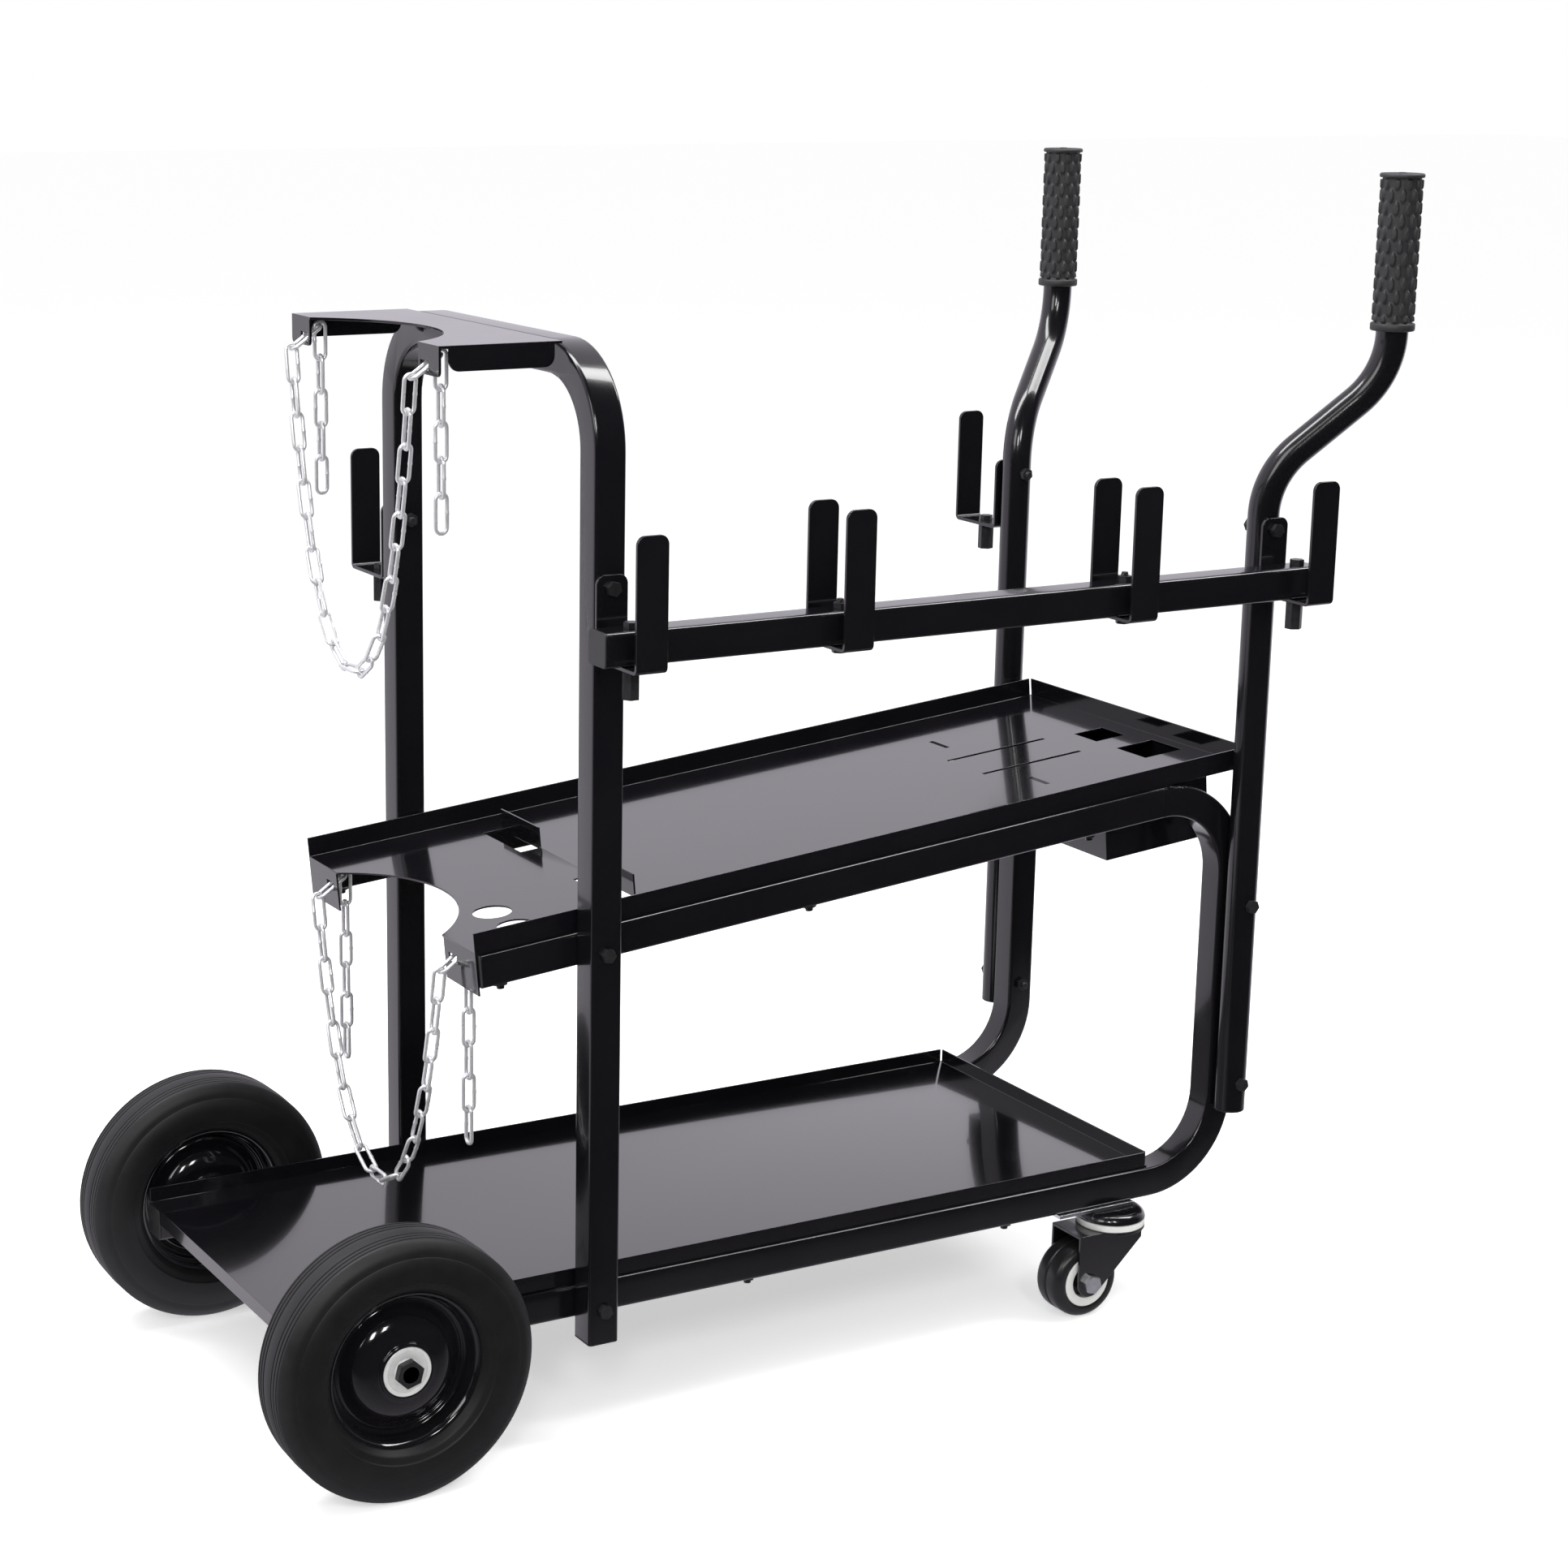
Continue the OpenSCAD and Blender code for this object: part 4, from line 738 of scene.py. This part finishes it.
def weldedLink(size, long, wide, wire):
    leg, straight = (wide - wire) / 2, long - wide
    plain = straight / 2 - (size["taper"] + size["bead"] / 2) * mm
    bm = bmesh.new()
    bmesh.ops.create_circle(bm, segments=size["around"], radius=wire / 2)
    bmesh.ops.translate(bm, verts=bm.verts, vec=(leg, 0, -straight / 2))
    row = bm.verts[:] + bm.edges[:]
    for rise, grow in ((plain, 1.0), (size["taper"] * mm, size["weld"]), (size["bead"] * mm, 1.0),
                       (size["taper"] * mm, 1 / size["weld"]), (plain, 1.0)):
        row = drawOn(bm, row, (0, 0, rise))
        bmesh.ops.scale(bm, vec=(grow, grow, 1), verts=vertsOf(row),
                        space=Matrix.Translation((-leg, 0, 0)))
    row = bendOn(bm, row, (0, 0, straight / 2), (0, -1, 0), math.pi, size["bend"])
    row = drawOn(bm, row, (0, 0, -straight))
    bendOn(bm, row, (0, 0, -straight / 2), (0, -1, 0), math.pi, size["bend"])
    bmesh.ops.remove_doubles(bm, verts=bm.verts, dist=0.02 * mm)
    bmesh.ops.recalc_face_normals(bm, faces=bm.faces)
    return bm


# every link of a node, laid along the longest, middle and shortest way of its solid
def chain(node):
    parts = []
    for points in solidsOf(node):
        axes = np.linalg.eigh(np.cov((points - points.mean(0)).T))[1]
        long, wide = Vector(axes[:, 2]), Vector(axes[:, 1])
        flat = long.cross(wide)
        spread = [points @ np.array(way) for way in (wide, flat, long)]
        middle = sum((way * (reach.max() + reach.min()) / 2
                      for way, reach in zip((wide, flat, long), spread)), Vector())
        wideSpan, wireSpan, longSpan = (np.ptp(reach) for reach in spread)
        bm = weldedLink(link, longSpan, wideSpan, wireSpan)
        turn = Matrix((wide, -flat, long)).transposed().to_4x4()
        bmesh.ops.transform(bm, matrix=Matrix.Translation(middle) @ turn, verts=bm.verts)
        bmesh.ops.recalc_face_normals(bm, faces=bm.faces)
        parts.append(bm)
    finishPiece(joined(parts), node + "_piece", node, angle=60)


for node in nodes:
    if "chain" in node or "anchor" in node:
        chain(node)
print("chains: links bent and welded")


# studio: a pale floor and a white surround; gloss sees both fade to dark in front of the cart
studio = dict(world=0.55, front=0.03, seen=(0.82, 0.78, 0.86), skyFrom=-0.35, skyTo=0.25,
              floor=(0.88, 0.88, 0.88), lift=0.50, floorFrom=-0.45, floorTo=0.15, floorSize=20)

# each soft lamp: where it hangs, where it points, its size in metres and its power in watts
lamps = [dict(place=(-0.9, 0.4, 2.9), target=(0, 0, 0.5), size=(0.6, 2.2), power=50),
         dict(place=(1.2, -0.45, 2.8), target=(0, 0, 0.5), size=(0.6, 2.2), power=50),
         dict(place=(-2.6, -1.2, 1.9), target=(0, 0, 0.4), size=(1.0, 1.4), power=16),
         dict(place=(-1.5, -2.2, 1.7), target=(-0.3, 0, 0.3), size=(0.34, 0.6), power=12),
         dict(place=(-0.6, -2.5, 1.9), target=(0, 0, 0.4), size=(0.34, 0.6), power=12)]


# from dark in front of the cart to white behind it
def fade(place, start, end, front):
    y = axisOf(place, 1)
    return y.node("MapRange", {"Value": y, "From Min": start, "From Max": end,
                               "To Min": front, "To Max": 1.0})


def cameraRay(wire):
    return wire.node("LightPath", {}, out=0)


def glossyRay(wire):
    return wire.node("LightPath", {}, out=3)


def makeSurround(look):
    world = bpy.data.worlds.new("studio")
    bpy.context.scene.world = world
    world.use_nodes = True
    world.node_tree.nodes.clear()
    way = Wire(world.node_tree).node("TexCoord", {}, out=0)
    behind = fade(way, look["skyFrom"], look["skyTo"], look["front"])
    direct, glossy = cameraRay(way), glossyRay(way)
    level = direct + (1 - direct) * (glossy * behind + (1 - glossy) * look["world"])
    tint = mixColour(glossy, (1, 1, 1), look["seen"])
    sky = way.node("Background", {"Color": tint, "Strength": level})
    way.node("OutputWorld", {"Surface": sky})


def layFloor(look):
    material, place = startMaterial("floorWhite")
    behind = fade(place, look["floorFrom"], look["floorTo"], look["front"])
    matt = place.node("BsdfDiffuse", {"Color": colour(look["floor"])})
    glow = place.node("Emission", {"Color": (1, 1, 1, 1),
                                   "Strength": cameraRay(place) * look["lift"]})
    plain = place.node("AddShader", {0: matt, 1: glow})
    seen = place.node("Emission", {"Color": colour(look["seen"]), "Strength": behind})
    both = place.node("MixShader", {0: glossyRay(place), 1: plain, 2: seen})
    place.node("OutputMaterial", {"Surface": both})
    bm = bmesh.new()
    bmesh.ops.create_grid(bm, x_segments=1, y_segments=1, size=look["floorSize"])
    mesh = bpy.data.meshes.new("floor")
    bm.to_mesh(mesh)
    bm.free()
    mesh.materials.append(material)
    floor = bpy.data.objects.new("floor", mesh)
    bpy.context.scene.collection.objects.link(floor)


def hangLamp(name, lamp):
    data = bpy.data.lights.new(name, "AREA")
    data.shape = "RECTANGLE"
    data.size, data.size_y = lamp["size"]
    data.energy = lamp["power"]
    hung = bpy.data.objects.new(name, data)
    aim = (Vector(lamp["target"]) - Vector(lamp["place"])).to_track_quat("-Z", "Y")
    hung.matrix_world = Matrix.Translation(lamp["place"]) @ aim.to_matrix().to_4x4()
    bpy.context.scene.collection.objects.link(hung)


makeSurround(studio)
layFloor(studio)
for i, lamp in enumerate(lamps):
    hangLamp("softbox%d" % i, lamp)
bpy.context.scene.view_settings.view_transform = "Standard"
print("studio: floor, surround and %d lamps" % len(lamps))
